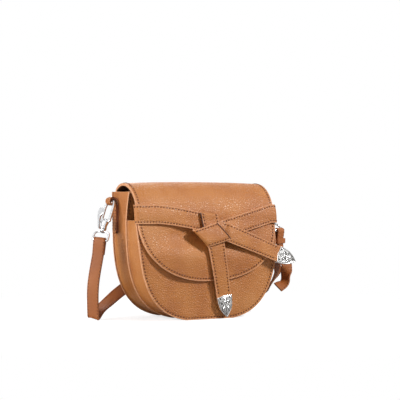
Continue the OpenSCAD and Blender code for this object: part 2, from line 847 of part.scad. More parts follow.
// The swivel eye: post with its head in the hook, boss, shoulders and the strap's bar
module swivel_eye() {
    boss_l = 0.26 * base_l;
    top = boss_z - 2 * run_gap;
    bend = 0.5 * (top - boss_l - bar_z);
    half = eye_in / 2 + eye_wire / 2;
    shoulder_z = top - boss_l + eye_wire / 4;
    union() {
        translate([0, 0, -slot_l + 2 * run_gap])
            cylinder(d = head_d, h = head_l, $fn = round_fn);
        translate([0, 0, top - boss_l / 2])
            cylinder(d = post_d, h = -slot_l + head_l - top + boss_l / 2, $fn = round_fn);
        translate([0, 0, top - boss_l])
            cylinder(d = barrel_d, h = boss_l, $fn = round_fn);
        translate([0, 0, shoulder_z])
            rotate([0, 90, 0])
                cylinder(d = eye_wire, h = 2 * (half - bend), center = true, $fn = round_fn / 2);
        for (side = [-1, 1]) {
            translate([side * (half - bend), 0, shoulder_z - bend])
                rotate([90, 0, 0])
                    rotate([0, 0, side > 0 ? 0 : 90])
                        rotate_extrude(angle = 90, $fn = round_fn)
                            translate([bend, 0])
                                circle(d = eye_wire, $fn = round_fn / 2);
            translate([side * half, 0, bar_z])
                cylinder(d = eye_wire, h = shoulder_z - bend - bar_z, $fn = round_fn / 2);
            translate([side * half, 0, bar_z])
                sphere(d = eye_wire, $fn = round_fn / 2);
        }
        translate([0, 0, bar_z])
            rotate([0, 90, 0])
                cylinder(d = eye_wire, h = 2 * half, center = true, $fn = round_fn / 2);
    }
}

module left_swivel_eye() {
    color(silver) on_clasp(-1) rotate([0, 0, left_pose[3]]) swivel_eye();
}

module right_swivel_eye() {
    color(silver) on_clasp(1) rotate([0, 0, right_pose[3]]) swivel_eye();
}

// The folded strap end hangs straight down from the bar of its eye
function bar_centre(side) = clasp_point(side, [0, 0, bar_z]);
function bar_dir(side) = clasp_dir(side, [cos(pose_of(side)[3]), sin(pose_of(side)[3]), 0]);
function fall(side) = side < 0 ? [-0.12, 0.03, -1] : [-0.04, 0, -1];
function down_dir(side) = unit(cross(bar_dir(side), unit(cross(fall(side), bar_dir(side)))));
function out_dir(side) = unit(cross(down_dir(side), bar_dir(side)));
ply = strap_t / 2 + layer_gap / 4;
wrap_r = eye_wire / 2 + layer_gap + strap_t / 2;

module strap_end(side) {
    c = bar_centre(side);
    d = down_dir(side);
    n = out_dir(side);
    arc = [for (k = [0:6]) let (a = 30 * k) c + wrap_r * (n * cos(a) - d * sin(a))];
    route = concat([c + d * fold_l + n * ply, c + d * 2.6 * wrap_r + n * ply],
        arc, [c + d * 2.6 * wrap_r - n * ply, c + d * fold_l - n * ply]);
    color(tan)
        strip(route, [for (p = route) bar_dir(side)], strap_w, strap_t);
}

module left_strap_end() {
    strap_end(-1);
}

module right_strap_end() {
    strap_end(1);
}

// The strap's left run hangs to the floor, then rises behind the bag to the stowed turns
swivel_gap = 1.6;
left_gap = 0.95;
floor_lift = 0.25;
rear_gap = back_face + mouth_flare + flap_out;
left_top = bar_centre(-1) + down_dir(-1) * (fold_l + left_gap) + out_dir(-1) * ply;
left_foot = [left_top[0] - 0.025 * bag_w, left_top[1] + 0.02 * bag_w, 1.6 * strap_t];

module left_strap_run() {
    route = [left_top, left_top * 0.5 + left_foot * 0.5 + [-0.017 * bag_w, 0, 0], left_foot];
    foot_side = unit(bar_dir(-1) + [0, 0, -0.12]);
    sides = [bar_dir(-1), bar_dir(-1), foot_side];
    color(tan)
        strip(smooth(route, 5), smooth(sides, 5), strap_w, strap_t);
}

stow_y = rear_gap + 0.17 * bag_w;
stow_x = 0.19 * bag_w;
stow_step = strap_t + 1.4;

// A point of the stowed turns: an oval that grows by one step with each turn
function stow_point(a) = let (r = stow_r + stow_step * a / 360, side = min(1, max(-1, 2.2 * sin(a))))
    [stow_x + side * stow_run / 2 + r * sin(a), stow_y + r * cos(a), strap_w / 2 + floor_lift];
stow_from = 0;
stow_to = 360 * stow_turns + 40;

module stowed_strap() {
    route = [for (a = [stow_from:20:stow_to]) stow_point(a)];
    color(tan)
        strip(route, [for (p = route) [0, 0, 1]], strap_w, strap_t);
}

// Route of the rising run in shares of the bag's width: x, distance behind the back, height
rear_run_shares = [[-0.621, -0.095, 0.063], [-0.532, -0.042, 0.11], [-0.421, 0.013, 0.168],
    [-0.289, 0.079, 0.216], [-0.158, 0.147, 0.2]];
rear_side_shares = [[0.6, -0.78, -0.2], [0.52, -0.7, -0.45], [0.4, -0.6, -0.68], [0.3, -0.5, -0.8],
    [0.15, -0.4, -0.9], [0.05, -0.2, -0.97], [0.02, -0.1, -0.99]];

module rear_strap_run() {
    inner = stow_point(stow_from);
    stow_left = stow_x - stow_run / 2;
    over = [stow_left - 1.1 * stow_r, stow_y + 0.55 * stow_r, 1.6 * strap_w];
    inside = [stow_left + 0.5 * stow_r, stow_y + 0.9 * stow_r, 1.15 * strap_w];
    mid = [for (s = rear_run_shares) [s[0] * bag_w, rear_gap + s[1] * bag_w, s[2] * bag_w]];
    crease = left_foot + [0.3 * strap_t, 1.3 * strap_t, 0];
    before = unit(stow_point(stow_from) - stow_point(stow_from + 20));
    route = concat([crease], mid, [over, inside, inner + before * layer_gap]);
    sides = concat([unit(bar_dir(-1) + [0, 0, -0.2])], rear_side_shares, [[0, 0, -1]]);
    color(tan)
        strip(smooth(route, 4), smooth(sides, 4), strap_w, strap_t);
}

// The strap's right side: folded end, buckle strap with its keeper, buckle, long strap and tail
function right_side() = unit([bar_dir(1)[0], bar_dir(1)[1], 0]);
buckle_top = bar_centre(1) + down_dir(1) * (fold_l + swivel_gap) - [0, 0, 0.5 * strap_w];
frame_turn = atan2(right_side()[1], right_side()[0]);
front_dir = [right_side()[1], -right_side()[0], 0];
buckle_in = strap_w + 1;

module on_buckle() {
    translate(buckle_top)
        rotate([0, 0, frame_turn])
            children();
}

tongue_d = 1.7;
bar_wrap = buckle_wire / 2 + layer_gap + strap_t / 2;
low_wrap = 0.75 * buckle_wire + layer_gap + strap_t / 2;

// The opening that the strap has for the tongue
module tongue_slot(z) {
    on_buckle()
        translate([0, 0, z])
            cube([tongue_d + 2 * layer_gap, 4 * bar_wrap, 2.8 * bar_wrap], center = true);
}

module buckle_strap() {
    top = bar_centre(1) + down_dir(1) * (fold_l + swivel_gap);
    high = buckle_top + [0, 0, 2.6 * bar_wrap];
    arc = [for (k = [0:6]) let (a = 30 * k)
        buckle_top + bar_wrap * (front_dir * cos(a) + [0, 0, -1] * sin(a))];
    route = concat([top + front_dir * ply, high + front_dir * ply], arc,
        [high - front_dir * ply, top - front_dir * ply]);
    color(tan)
        difference() {
            strip(route, [for (p = route) right_side()], strap_w, strap_t);
            tongue_slot(0);
        }
}

// The keeper holds the folded strap end together
keeper_l = 6.5;
keeper_t = 1.5;

module strap_keeper() {
    depth = 2 * strap_t + 6 * layer_gap;
    slack = 4 * layer_gap;
    d = down_dir(1);
    b = bar_dir(1);
    n = out_dir(1);
    c = bar_centre(1) + d * 0.75 * fold_l;
    color(tan)
        multmatrix([[b[0], n[0], -d[0], c[0]], [b[1], n[1], -d[1], c[1]], [b[2], n[2], -d[2], c[2]],
                [0, 0, 0, 1]])
            difference() {
                cube([strap_w + slack + 2 * keeper_t, depth + 2 * keeper_t, keeper_l], center = true);
                cube([strap_w + slack, depth, keeper_l + 2 * cut], center = true);
            }
}

module buckle_frame() {
    out_w = buckle_in + 2 * buckle_wire;
    rail = buckle_h + 1.5 * buckle_wire;
    color(silver)
        on_buckle()
            union() {
                rotate([0, 90, 0])
                    cylinder(d = buckle_wire, h = out_w, center = true, $fn = round_fn / 2);
                translate([0, 0, -rail / 2])
                    difference() {
                        cube([out_w, buckle_wire, rail], center = true);
                        translate([0, 0, buckle_wire])
                            cube([buckle_in, 2 * buckle_wire, rail], center = true);
                    }
            }
}

module buckle_tongue() {
    reach = buckle_h + 1.5 * buckle_wire;
    stand = buckle_wire / 2 + tongue_d / 2 + 2 * run_gap;
    color(silver)
        on_buckle()
            difference() {
                union() {
                    rotate([0, 90, 0])
                        cylinder(d = buckle_wire + 2.3 * tongue_d, h = 1.2 * tongue_d, center = true,
                            $fn = round_fn);
                    translate([0, -stand, -reach])
                        cylinder(d = tongue_d, h = reach, $fn = round_fn / 2);
                }
                rotate([0, 90, 0])
                    cylinder(d = buckle_wire + 2 * run_gap, h = strap_w, center = true, $fn = round_fn);
            }
}

// Route of the long strap from the stowed turns up to the buckle, in shares of the bag's width
right_run_shares = [[0.526, 0.185, 0.066], [0.61, 0.064, 0.105], [0.647, -0.062, 0.153],
    [0.646, -0.1255, 0.195], [0.645, -0.173, 0.234], [0.639, -0.21, 0.276]];
right_side_shares = [[0.1, 0.1, 0.97], [0.3, 0.1, 0.9], [0.5, 0.15, 0.8], [0.65, 0.25, 0.6],
    [0.8, 0.35, 0.35], [0.86, 0.42, 0.12]];
bar_low = buckle_top - [0, 0, buckle_h + buckle_wire];
tail_foot = bar_low - front_dir * low_wrap - [0, 0, 0.25 * strap_w];

module right_strap_run() {
    start = stow_point(stow_to);
    ahead = unit(start - stow_point(stow_to - 20));
    mid = [for (s = right_run_shares) [s[0] * bag_w, rear_gap + s[1] * bag_w, s[2] * bag_w]];
    route = concat([start + ahead * 2 * layer_gap], mid, [tail_foot - [0, 0, layer_gap]]);
    sides = concat([[0, 0, 1]], right_side_shares, [right_side()]);
    color(tan)
        strip(smooth(route, 4), smooth(sides, 4), strap_w, strap_t);
}

// The loose tail turns over the buckle's lower bar and curls down, in shares of the bag's width
tail_curl_shares = [[0.026, -0.03, -0.01], [0.036, -0.03, -0.047], [0.036, -0.027, -0.079],
    [0.03, -0.032, -0.112], [0.008, -0.043, -0.138], [-0.029, -0.053, -0.156], [-0.072, -0.058, -0.17]];
tail_side_shares = [[0.8, 0.1, 0.5], [0.6, -0.3, 0.65], [0.35, -0.7, 0.45], [0.2, -0.85, 0.1],
    [0.12, -0.85, -0.3], [0.05, -0.75, -0.6], [0.02, -0.66, -0.72]];

module strap_tail() {
    turn = [for (k = [0:4]) let (a = 40 * k)
        bar_low + low_wrap * ([0, 0, 1] * sin(a) - front_dir * cos(a))];
    start = bar_low + front_dir * low_wrap;
    mid = smooth(concat([turn[4]], [for (s = tail_curl_shares) start + s * bag_w]), 4);
    sides = smooth(concat([right_side()], tail_side_shares), 4);
    color(tan)
        difference() {
            strip(concat([tail_foot], [for (k = [0:3]) turn[k]], mid),
                concat([for (k = [0:4]) right_side()], sides), strap_w, strap_t);
            tongue_slot(-buckle_h - 0.5 * buckle_wire);
        }
}

back_panel();
rear_gusset();
middle_panel();
front_gusset();
front_panel();
main_lining();
pocket_lining();
flap_root();
flap();
flap_magnet();
pocket_magnet();
belt_left();
belt_right();
knot_core();
knot_fold();
knot_band();
drop_tail();
drop_tip();
drop_tip_pins();
side_tail();
side_tip();
side_tip_pins();
left_tab();
right_tab();
left_hook();
right_hook();
left_gate();
right_gate();
left_swivel_eye();
right_swivel_eye();
left_strap_end();
right_strap_end();
left_strap_run();
rear_strap_run();
stowed_strap();
right_strap_run();
strap_tail();
buckle_strap();
strap_keeper();
buckle_frame();
buckle_tongue();
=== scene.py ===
"""Looks of a half-moon shoulder bag in tan grained calf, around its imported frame.

Places are worked out in millimetres in the bag's own axes: X across, -Y front, Z up.
"""
import math

import bpy
import numpy as np
from mathutils import Matrix, Vector


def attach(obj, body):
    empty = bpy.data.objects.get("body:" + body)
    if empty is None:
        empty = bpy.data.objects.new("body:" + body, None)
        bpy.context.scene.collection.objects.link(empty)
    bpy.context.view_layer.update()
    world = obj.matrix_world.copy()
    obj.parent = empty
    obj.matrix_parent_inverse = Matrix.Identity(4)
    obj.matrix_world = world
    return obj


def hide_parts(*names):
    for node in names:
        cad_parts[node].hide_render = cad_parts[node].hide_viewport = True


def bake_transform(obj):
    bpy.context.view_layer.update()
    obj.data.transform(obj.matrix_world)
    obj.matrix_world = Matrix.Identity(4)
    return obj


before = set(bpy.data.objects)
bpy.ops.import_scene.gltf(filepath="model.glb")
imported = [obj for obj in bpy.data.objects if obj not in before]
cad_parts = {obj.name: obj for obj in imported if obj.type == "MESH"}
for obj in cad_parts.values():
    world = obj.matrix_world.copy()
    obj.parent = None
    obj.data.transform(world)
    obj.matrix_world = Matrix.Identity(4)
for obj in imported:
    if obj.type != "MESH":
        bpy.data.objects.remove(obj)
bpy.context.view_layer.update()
MM = 0.001
scene = bpy.context.scene
scene.view_settings.view_transform = "Standard"

# Sizes that the bag's own patterns give, in mm
BAG_W, BAG_H, FRONT_H, CORNER_H = 190.0, 153.0, 119.0, 124.0
MID_FACE, FRONT_FACE, BACK_FACE = -2.0, -37.0, 37.0
MOUTH_FLARE, MIDDLE_LEAN, FRONT_LEAN = 1.5, 8.0, 8.9
LEATHER, LINING_T, SEAM_LIP, LINING_DROP = 2.2, 0.9, 2.0, 3.0
FLAP_W, FLAP_T, FLAP_LOW, CREST_H, ROOT_L = 188.0, 3.0, 46.5, 163.5, 20.0
CREST_SWELL, FRONT_SWELL, ROOT_TAPER = 1.9, 1.2, 5.5
BELT_W, BELT_T, BELT_H = 22.0, 2.6, 126.5
TAIL_W, TAIL_END_W, DROP_L, SIDE_L = 21.5, 18.6, 59.0, 67.0
TIP_W, TIP_L, TIP_T, POCKET_L = 20.6, 27.0, 5.0, 11.0
TAB_W, TAB_L, TAB_H = 8.0, 35.0, 142.0
STRAP_W, STRAP_T, FOLD_L = 15.0, 2.2, 17.0
SEAM_GAP, LAYER_GAP = 0.2, 0.35
# Where stitches run in from a rim, how far they lean, and how far they stand up
STITCH_IN, STITCH_SLANT, STITCH_LIFT = 2.5, 24.0, 0.08
# Sag of a panel's mouth, and the flap's own rounding
MOUTH_SAG, FLAP_SAG, FLAP_POWER = 0.8, 1.5 / 4, 2.25
# Where the belt pinches the front in and how deep, and the height of the flap's magnet
PINCH_H, PINCH_DEPTH, MAGNET_H = 100.0, 6.5, 60.5
MOTTLE_MM = 42
UP = np.array([0, 0, 1.0])


# Shapes of the leather
def ease(t, power):
    """A curve that starts flat at 0, for how far a sheet has leaned or bent."""
    return np.power(np.maximum(t, 0.0), power)


def back_y(z):
    """Outer face of the back panel at a height, a little flared at its mouth."""
    flare_h = 0.65 * BAG_H
    return BACK_FACE + MOUTH_FLARE * ease((z - flare_h) / (BAG_H - flare_h), 2)


def middle_y(z):
    """Outer face of the middle panel at a height, leaning forward at its mouth."""
    bend_h = 0.76 * BAG_H
    return MID_FACE - MIDDLE_LEAN * ease((z - bend_h) / (BAG_H - bend_h), 1.5)


def front_y(z):
    """Outer face of the front panel at a height, leaning back at its mouth."""
    bend_h = 0.59 * FRONT_H
    return FRONT_FACE + FRONT_LEAN * ease((z - bend_h) / (FRONT_H - bend_h), 1.6)


def half_width(z, inset=0.0, half=BAG_W / 2, low=0.0, full_h=CORNER_H, sag=1.5, power=3.0):
    """Half width of a rounded panel at a height."""
    share = np.clip((full_h - z) / (full_h - low + sag - inset), 0.0, 1.0)
    return (half - inset) * np.power(1 - np.power(share, power), 1 / power)


def flap_half(z):
    """Half width of the flap's front at a height."""
    return half_width(z, 0.0, FLAP_W / 2, FLAP_LOW, FRONT_H, FLAP_SAG, FLAP_POWER)


def pinch(x, z):
    """How far the knotted belt draws the flap and the panel behind it in, at a place."""
    x, z = np.asarray(x, float), np.asarray(z, float)
    line = PINCH_H - 8 * np.clip((x - 5) / 50, 0, 1)
    drawn = PINCH_DEPTH * np.exp(-((x + 2) / 58) ** 2) * np.exp(-((z - line) / 13) ** 2)
    return drawn * np.clip((88 - np.abs(x)) / 20, 0, 1)


def soft_step(t):
    """A share from 0 to 1 with eased ends."""
    t = np.clip(t, 0, 1)
    return t * t * (3 - 2 * t)


def unit(v):
    """The same directions, one long."""
    v = np.asarray(v, float)
    return v / np.maximum(np.linalg.norm(v, axis=-1, keepdims=True), 1e-9)


def run_lengths(points):
    """Length along a line up to each of its points."""
    return np.r_[0, np.cumsum(np.linalg.norm(np.diff(points, axis=0), axis=1))]


def sampled(values, lengths, at):
    """Values along a line, read at other lengths."""
    return np.stack([np.interp(at, lengths, values[:, k]) for k in range(values.shape[1])], -1)


def spaced(points, step):
    """The same line with its points a step apart."""
    points = np.asarray(points, float)
    lengths = run_lengths(points)
    count = max(2, int(round(lengths[-1] / step)) + 1)
    return sampled(points, lengths, np.linspace(0, lengths[-1], count))


def closed_line(points, step):
    """A closed line with its points a step apart, from points that don't repeat the first."""
    return spaced(np.vstack([points, points[:1]]), step)[:-1]


def relaxed(points, rounds):
    """The same line with its kinks eased."""
    points = np.array(points, float)
    for _ in range(rounds):
        points[1:-1] = 0.5 * points[1:-1] + 0.25 * (points[:-2] + points[2:])
    return points


def smooth(values, steps):
    """A smooth row of values through chosen ones."""
    v = [np.asarray(x, float) for x in values]
    out = []
    for k in range(len(v) - 1):
        p0, p1, p2, p3 = v[max(k - 1, 0)], v[k], v[k + 1], v[min(k + 2, len(v) - 1)]
        for s in range(steps):
            t = s / steps
            out.append(p1 + t * (p2 - p0) / 2 + t * t * (p0 - 2.5 * p1 + 2 * p2 - p3 / 2)
                       + t ** 3 * (1.5 * p1 - p0 / 2 - 1.5 * p2 + p3 / 2))
    return np.array(out + [v[-1]])


def waves(points, size, seed):
    """Soft irregular height from -1 to 1 over points, for slack and wear in leather."""
    rng = np.random.default_rng(seed)
    total = np.zeros(np.asarray(points).shape[:-1])
    for _ in range(7):
        direction = unit(rng.normal(size=3))
        length = size * rng.uniform(0.6, 1.7)
        total += np.sin(np.asarray(points) @ direction * 2 * math.pi / length
                        + rng.uniform(0, 6.28))
    return total / 4


# Mesh makers
def add_mesh(name, verts, faces, materials, face_slots=None, sharp=40):
    """A smooth-shaded piece from points in millimetres, with edges over an angle kept sharp."""
    data = bpy.data.meshes.new(name)
    data.from_pydata((np.asarray(verts, float) * MM).tolist(), [],
                     [list(map(int, f)) for f in faces])
    for material in materials:
        data.materials.append(material)
    if face_slots is not None:
        data.polygons.foreach_set("material_index", np.asarray(face_slots, np.int32))
    data.polygons.foreach_set("use_smooth", [True] * len(data.polygons))
    data.set_sharp_from_angle(angle=math.radians(sharp))
    data.update()
    piece = bpy.data.objects.new(name, data)
    scene.collection.objects.link(piece)
    return piece


def normals_of(grid, flip=False):
    """The direction that a grid of points faces at each point."""
    du = np.gradient(grid, axis=1)
    dv = np.gradient(grid, axis=0)
    n = unit(np.cross(du, dv))
    return -n if flip else n


def quads(rows, cols, start=0, closed=False):
    """Faces of a grid of vertices, row by row."""
    span = cols if closed else cols - 1
    r, c = np.meshgrid(np.arange(rows - 1), np.arange(span), indexing="ij")
    a = start + r * cols + c
    b = start + r * cols + (c + 1) % cols
    return np.stack([a, b, b + cols, a + cols], -1).reshape(-1, 4)


def grid_rim(rows, cols):
    """The vertices round a grid's edge, in order."""
    return np.array([*range(cols), *(r * cols + cols - 1 for r in range(1, rows)),
                     *((rows - 1) * cols + c for c in range(cols - 2, -1, -1)),
                     *(r * cols for r in range(rows - 2, 0, -1))])


def sheet_parts(grid, thick, flip=False, bulge=0.3):
    """Vertices and faces of a leather sheet: its outer grid, its back, and a rounded cut edge."""
    rows, cols = grid.shape[:2]
    n = normals_of(grid, flip)
    thick = np.broadcast_to(np.asarray(thick, float), (rows, cols))[..., None]
    verts = [grid.reshape(-1, 3), (grid - n * thick).reshape(-1, 3)]
    outer = quads(rows, cols)
    inner = quads(rows, cols, rows * cols)[:, ::-1]
    index = grid_rim(rows, cols)
    edge, deep = verts[0][index], verts[1][index]
    along = unit(np.roll(edge, -1, 0) - np.roll(edge, 1, 0))
    out = unit(np.cross(along, n.reshape(-1, 3)[index]))
    if np.sum(out * (edge - verts[0].mean(0))) < 0:
        out = -out
    rings = [index]
    base = 2 * rows * cols
    for share, rise in ((0.16, 0.75), (0.5, 1.0), (0.84, 0.75)):
        verts.append(edge + (deep - edge) * share + out * bulge * rise)
        rings.append(base + np.arange(len(index)))
        base += len(index)
    rings.append(index + rows * cols)
    rim = np.concatenate([np.stack([a, np.roll(a, -1), np.roll(b, -1), b], -1)
                          for a, b in zip(rings[:-1], rings[1:])])
    if flip:
        outer, inner = outer[:, ::-1], inner[:, ::-1]
    else:
        rim = rim[:, ::-1]
    return np.concatenate(verts), outer, inner, rim


def leather_sheet(name, grid, thick, materials, flip=False, bulge=0.3):
    """A leather sheet, with materials for its grain face, its cut edge and its back."""
    verts, outer, inner, rim = sheet_parts(np.asarray(grid, float), thick, flip, bulge)
    faces = np.concatenate([outer, rim, inner])
    slots = np.r_[np.zeros(len(outer)), np.ones(len(rim)), np.full(len(inner), 2)]
    return add_mesh(name, verts, faces, materials, slots, 50)


def tube(path, widths, depths=None, across=None, sides=12, power=2.0, closed=False):
    """Vertices and faces of a section swept along a path, with its width along across."""
    path = np.asarray(path, float)
    count = len(path)
    widths = np.broadcast_to(np.asarray(widths, float), (count,))
    depths = widths if depths is None else np.broadcast_to(np.asarray(depths, float), (count,))
    if closed:
        along = unit(np.roll(path, -1, 0) - np.roll(path, 1, 0))
    else:
        along = unit(np.gradient(path, axis=0))
    if across is None:
        guide = np.array([0.0, 0.0, 1.0]) if abs(along[0][2]) < 0.8 else np.array([1.0, 0.0, 0.0])
        across = [unit(np.cross(along[0], guide))]
        for k in range(1, count):
            across.append(unit(across[-1] - along[k] * np.dot(across[-1], along[k])))
    across = np.broadcast_to(np.asarray(across, float), (count, 3))
    across = unit(across - along * np.sum(across * along, -1, keepdims=True))
    up = np.cross(along, across)
    angle = np.linspace(0, 2 * math.pi, sides, endpoint=False)
    ca, sa = (np.sign(v) * np.abs(v) ** (2 / power) for v in (np.cos(angle), np.sin(angle)))
    rings = (path[:, None] + across[:, None] * (ca[None, :, None] * widths[:, None, None] / 2)
             + up[:, None] * (sa[None, :, None] * depths[:, None, None] / 2))
    verts = rings.reshape(-1, 3)
    faces = list(quads(count + (1 if closed else 0), sides, closed=True) % len(verts))
    if not closed:
        faces += [list(range(sides))[::-1], [len(verts) - sides + k for k in range(sides)]]
    return verts, faces


def lathe(profile, sides=32):
    """Vertices and faces of a profile of radii and heights turned about Z."""
    angle = np.linspace(0, 2 * math.pi, sides, endpoint=False)
    verts, rings = [], []
    for r, z in profile:
        if r < 1e-6:
            rings.append([len(verts)])
            verts.append([0, 0, z])
        else:
            rings.append(list(range(len(verts), len(verts) + sides)))
            verts += [[r * math.cos(a), r * math.sin(a), z] for a in angle]
    faces = []
    for low, high in zip(rings[:-1], rings[1:]):
        for k in range(sides):
            a, b = low[k % len(low)], low[(k + 1) % len(low)]
            c, d = high[(k + 1) % len(high)], high[k % len(high)]
            faces.append([v for i, v in enumerate((a, b, c, d)) if v not in (a, b, c, d)[:i]])
    return np.array(verts, float), faces


def rounded_plate(outline, thick, radius, steps=3):
    """Vertices and faces of a flat outline in X and Z with rounded rims, centred on Y = 0."""
    outline = np.asarray(outline, float)
    tangent = unit(np.roll(outline, -1, 0) - np.roll(outline, 1, 0))
    inward = np.stack([-tangent[:, 1], tangent[:, 0]], 1)
    area = np.sum(outline[:, 0] * np.roll(outline[:, 1], -1)
                  - outline[:, 1] * np.roll(outline[:, 0], -1))
    if area < 0:
        inward = -inward
    rings = []
    for side in (-1, 1):
        for k in range(steps + 1):
            a = math.pi / 2 * (k / steps if side > 0 else 1 - k / steps)
            place = outline + inward * radius * (1 - math.cos(a))
            y = side * (thick / 2 - radius + radius * math.sin(a))
            rings.append(np.stack([place[:, 0], np.full(len(outline), y), place[:, 1]], 1))
    verts = np.concatenate(rings)
    n = len(outline)
    faces = [*quads(len(rings), n, closed=True), list(range(n)),
             list(range(len(verts) - n, len(verts)))[::-1]]
    if area > 0:
        faces = [f[::-1] for f in faces]
    return verts, faces


def join(parts):
    """Several lots of vertices and faces as one."""
    verts, faces, base = [], [], 0
    for v, f in parts:
        verts.append(np.asarray(v, float))
        faces += [[int(i) + base for i in face] for face in f]
        base += len(v)
    return np.concatenate(verts), faces


def stitch_parts(path, normal, pitch=3.8, length=2.5, wide=1.45):
    """A row of thread stitches along a path that lies on leather."""
    path, normal = np.asarray(path, float), np.asarray(normal, float)
    lengths = run_lengths(path)
    count = max(1, int(lengths[-1] / pitch))
    at = (np.arange(count) + 0.5) * lengths[-1] / count
    centre, up = sampled(path, lengths, at), unit(sampled(normal, lengths, at))
    ahead = sampled(path, lengths, np.minimum(at + 0.6, lengths[-1]))
    along = unit(ahead - sampled(path, lengths, np.maximum(at - 0.6, 0)))
    side = unit(np.cross(up, along))
    turn = math.radians(STITCH_SLANT)
    along, side = (along * math.cos(turn) + side * math.sin(turn),
                   side * math.cos(turn) - along * math.sin(turn))
    verts = []
    for share, radius, drop in ((-0.5, 0.3, -0.3), (-0.3, 1.0, 0.0),
                                (0.3, 1.0, 0.0), (0.5, 0.3, -0.3)):
        for k in range(6):
            a = k * math.pi / 3
            verts.append(centre + along * (share * length)
                         + side * (math.cos(a) * radius * wide / 2)
                         + up * (math.sin(a) * radius * wide / 2 + STITCH_LIFT + drop))
    verts = np.stack(verts, 1).reshape(-1, 3)
    one = [*quads(4, 6, closed=True), [5, 4, 3, 2, 1, 0], [18, 19, 20, 21, 22, 23]]
    return verts, [[i + 24 * c for i in f] for c in range(count) for f in one]


def add_trim(name, parts, material, body, blend=None):
    """Rows of stitches, or beads, as one piece that goes with the leather under them."""
    verts, faces = join(parts)
    piece = add_mesh(name, verts, faces, [material], sharp=60)
    if blend:
        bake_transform(piece)
    else:
        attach(piece, body)


def add_stitches(name, rows, body, blend=None):
    """Rows of waxed thread as one piece."""
    add_trim(name, [stitch_parts(*row) for row in rows], thread, body, blend)


def bead_parts(path, normal, thick, wide=1.2, closed=False):
    """A rounded, painted edge along the rim of a leather sheet, from the rim's outer line."""
    normal = unit(normal)
    centre = np.asarray(path, float) - normal * (thick / 2 - 0.06)
    return tube(centre, thick + 0.28, wide, across=normal, sides=12, power=3.2, closed=closed)


def line_in_grid(grid, normals, edge, inset):
    """A line on a grid at a distance in from its left or right edge."""
    if edge == "right":
        grid, normals = grid[:, ::-1], normals[:, ::-1]
    points, ups = [], []
    for row, up in zip(grid, normals):
        lengths = run_lengths(row)
        points.append(sampled(row, lengths, inset))
        ups.append(sampled(up, lengths, inset))
    return np.array(points), np.array(ups)


# Finishes
def linear(code):
    """An sRGB hex colour as linear light."""
    values = [int(code[k:k + 2], 16) / 255 for k in (0, 2, 4)]
    return tuple(v / 12.92 if v <= 0.04045 else ((v + 0.055) / 1.055) ** 2.4
                 for v in values) + (1.0,)


def add_node(tree, kind, settings=None, values=None, links=None):
    """One node with its settings, its socket values and what feeds its sockets."""
    node = tree.nodes.new(kind)
    for key, value in (settings or {}).items():
        setattr(node, key, value)
    for key, value in (values or {}).items():
        node.inputs[key].default_value = value
    for key, source in (links or {}).items():
        tree.links.new(source, node.inputs[key])
    return node


def new_material(name):
    """A material with one surface shader, and the place that its patterns start from."""
    material = bpy.data.materials.new(name)
    material.use_nodes = True
    tree = material.node_tree
    tree.nodes.clear()
    output = add_node(tree, "ShaderNodeOutputMaterial")
    shader = add_node(tree, "ShaderNodeBsdfPrincipled")
    tree.links.new(shader.outputs[0], output.inputs[0])
    place = add_node(tree, "ShaderNodeTexCoord").outputs["Object"]
    return material, tree, shader, place


def per_mm(size):
    """The scale of a pattern whose cells are that many millimetres, in object space."""
    return 1000.0 / size


def noise(tree, place, size_mm, detail=2.0, roughness=0.5):
    """Soft noise with lumps of that many millimetres."""
    return add_node(tree, "ShaderNodeTexNoise", links={"Vector": place}, values={
        "Scale": per_mm(size_mm), "Detail": detail, "Roughness": roughness})


def add_colour(tree, shader, factor, stops):
    """The surface's colour, from a pattern's value and the colours at its places."""
    ramp = add_node(tree, "ShaderNodeValToRGB", links={"Fac": factor})
    elements = ramp.color_ramp.elements
    while len(elements) < len(stops):
        elements.new(0.5)
    for element, (place, code) in zip(elements, stops):
        element.position = place
        element.color = linear(code)
    tree.links.new(ramp.outputs["Color"], shader.inputs["Base Color"])


def add_relief(tree, shader, height, strength, distance=0.0003):
    """Fine relief of the surface, from a pattern's height."""
    bump = add_node(tree, "ShaderNodeBump", values={"Strength": strength, "Distance": distance},
                    links={"Height": height})
    tree.links.new(bump.outputs[0], shader.inputs["Normal"])


def grained_calf(name, dark, mid, light, pebble_mm, relief, rough):
    """Drum-dyed calf: soft pebbles between fine darker creases, with small highlights."""
    material, tree, shader, place = new_material(name)
    stir = noise(tree, place, 4)
    push = add_node(tree, "ShaderNodeVectorMath", {"operation": "MULTIPLY_ADD"},
                    {1: (0.0014,) * 3}, {0: stir.outputs["Color"], 2: place})
    cells = add_node(tree, "ShaderNodeTexVoronoi", {"feature": "DISTANCE_TO_EDGE"},
                     {"Scale": per_mm(pebble_mm)}, {"Vector": push.outputs[0]})
    pebbles = add_node(tree, "ShaderNodeMapRange", {"interpolation_type": "SMOOTHSTEP"},
                       {1: 0.0, 2: 0.3}, {0: cells.outputs["Distance"]})
    fine = noise(tree, place, 0.8)
    cloud = noise(tree, place, MOTTLE_MM, roughness=0.45)
    height = add_node(tree, "ShaderNodeMath", {"operation": "MULTIPLY_ADD"}, {1: 0.5},
                      {0: fine.outputs[0], 2: pebbles.outputs[0]})
    tone = add_node(tree, "ShaderNodeMath", {"operation": "MULTIPLY_ADD"}, {1: 0.12},
                    {0: pebbles.outputs[0], 2: cloud.outputs[0]})
    add_colour(tree, shader, tone.outputs[0], [(0.24, dark), (0.58, mid), (0.94, light)])
    add_relief(tree, shader, height.outputs[0], relief, 0.0004)
    gloss = add_node(tree, "ShaderNodeMapRange", values={3: rough[1], 4: rough[0]},
                     links={0: pebbles.outputs[0]})
    tree.links.new(gloss.outputs[0], shader.inputs["Roughness"])
    shader.inputs["IOR"].default_value = 1.5
    return material


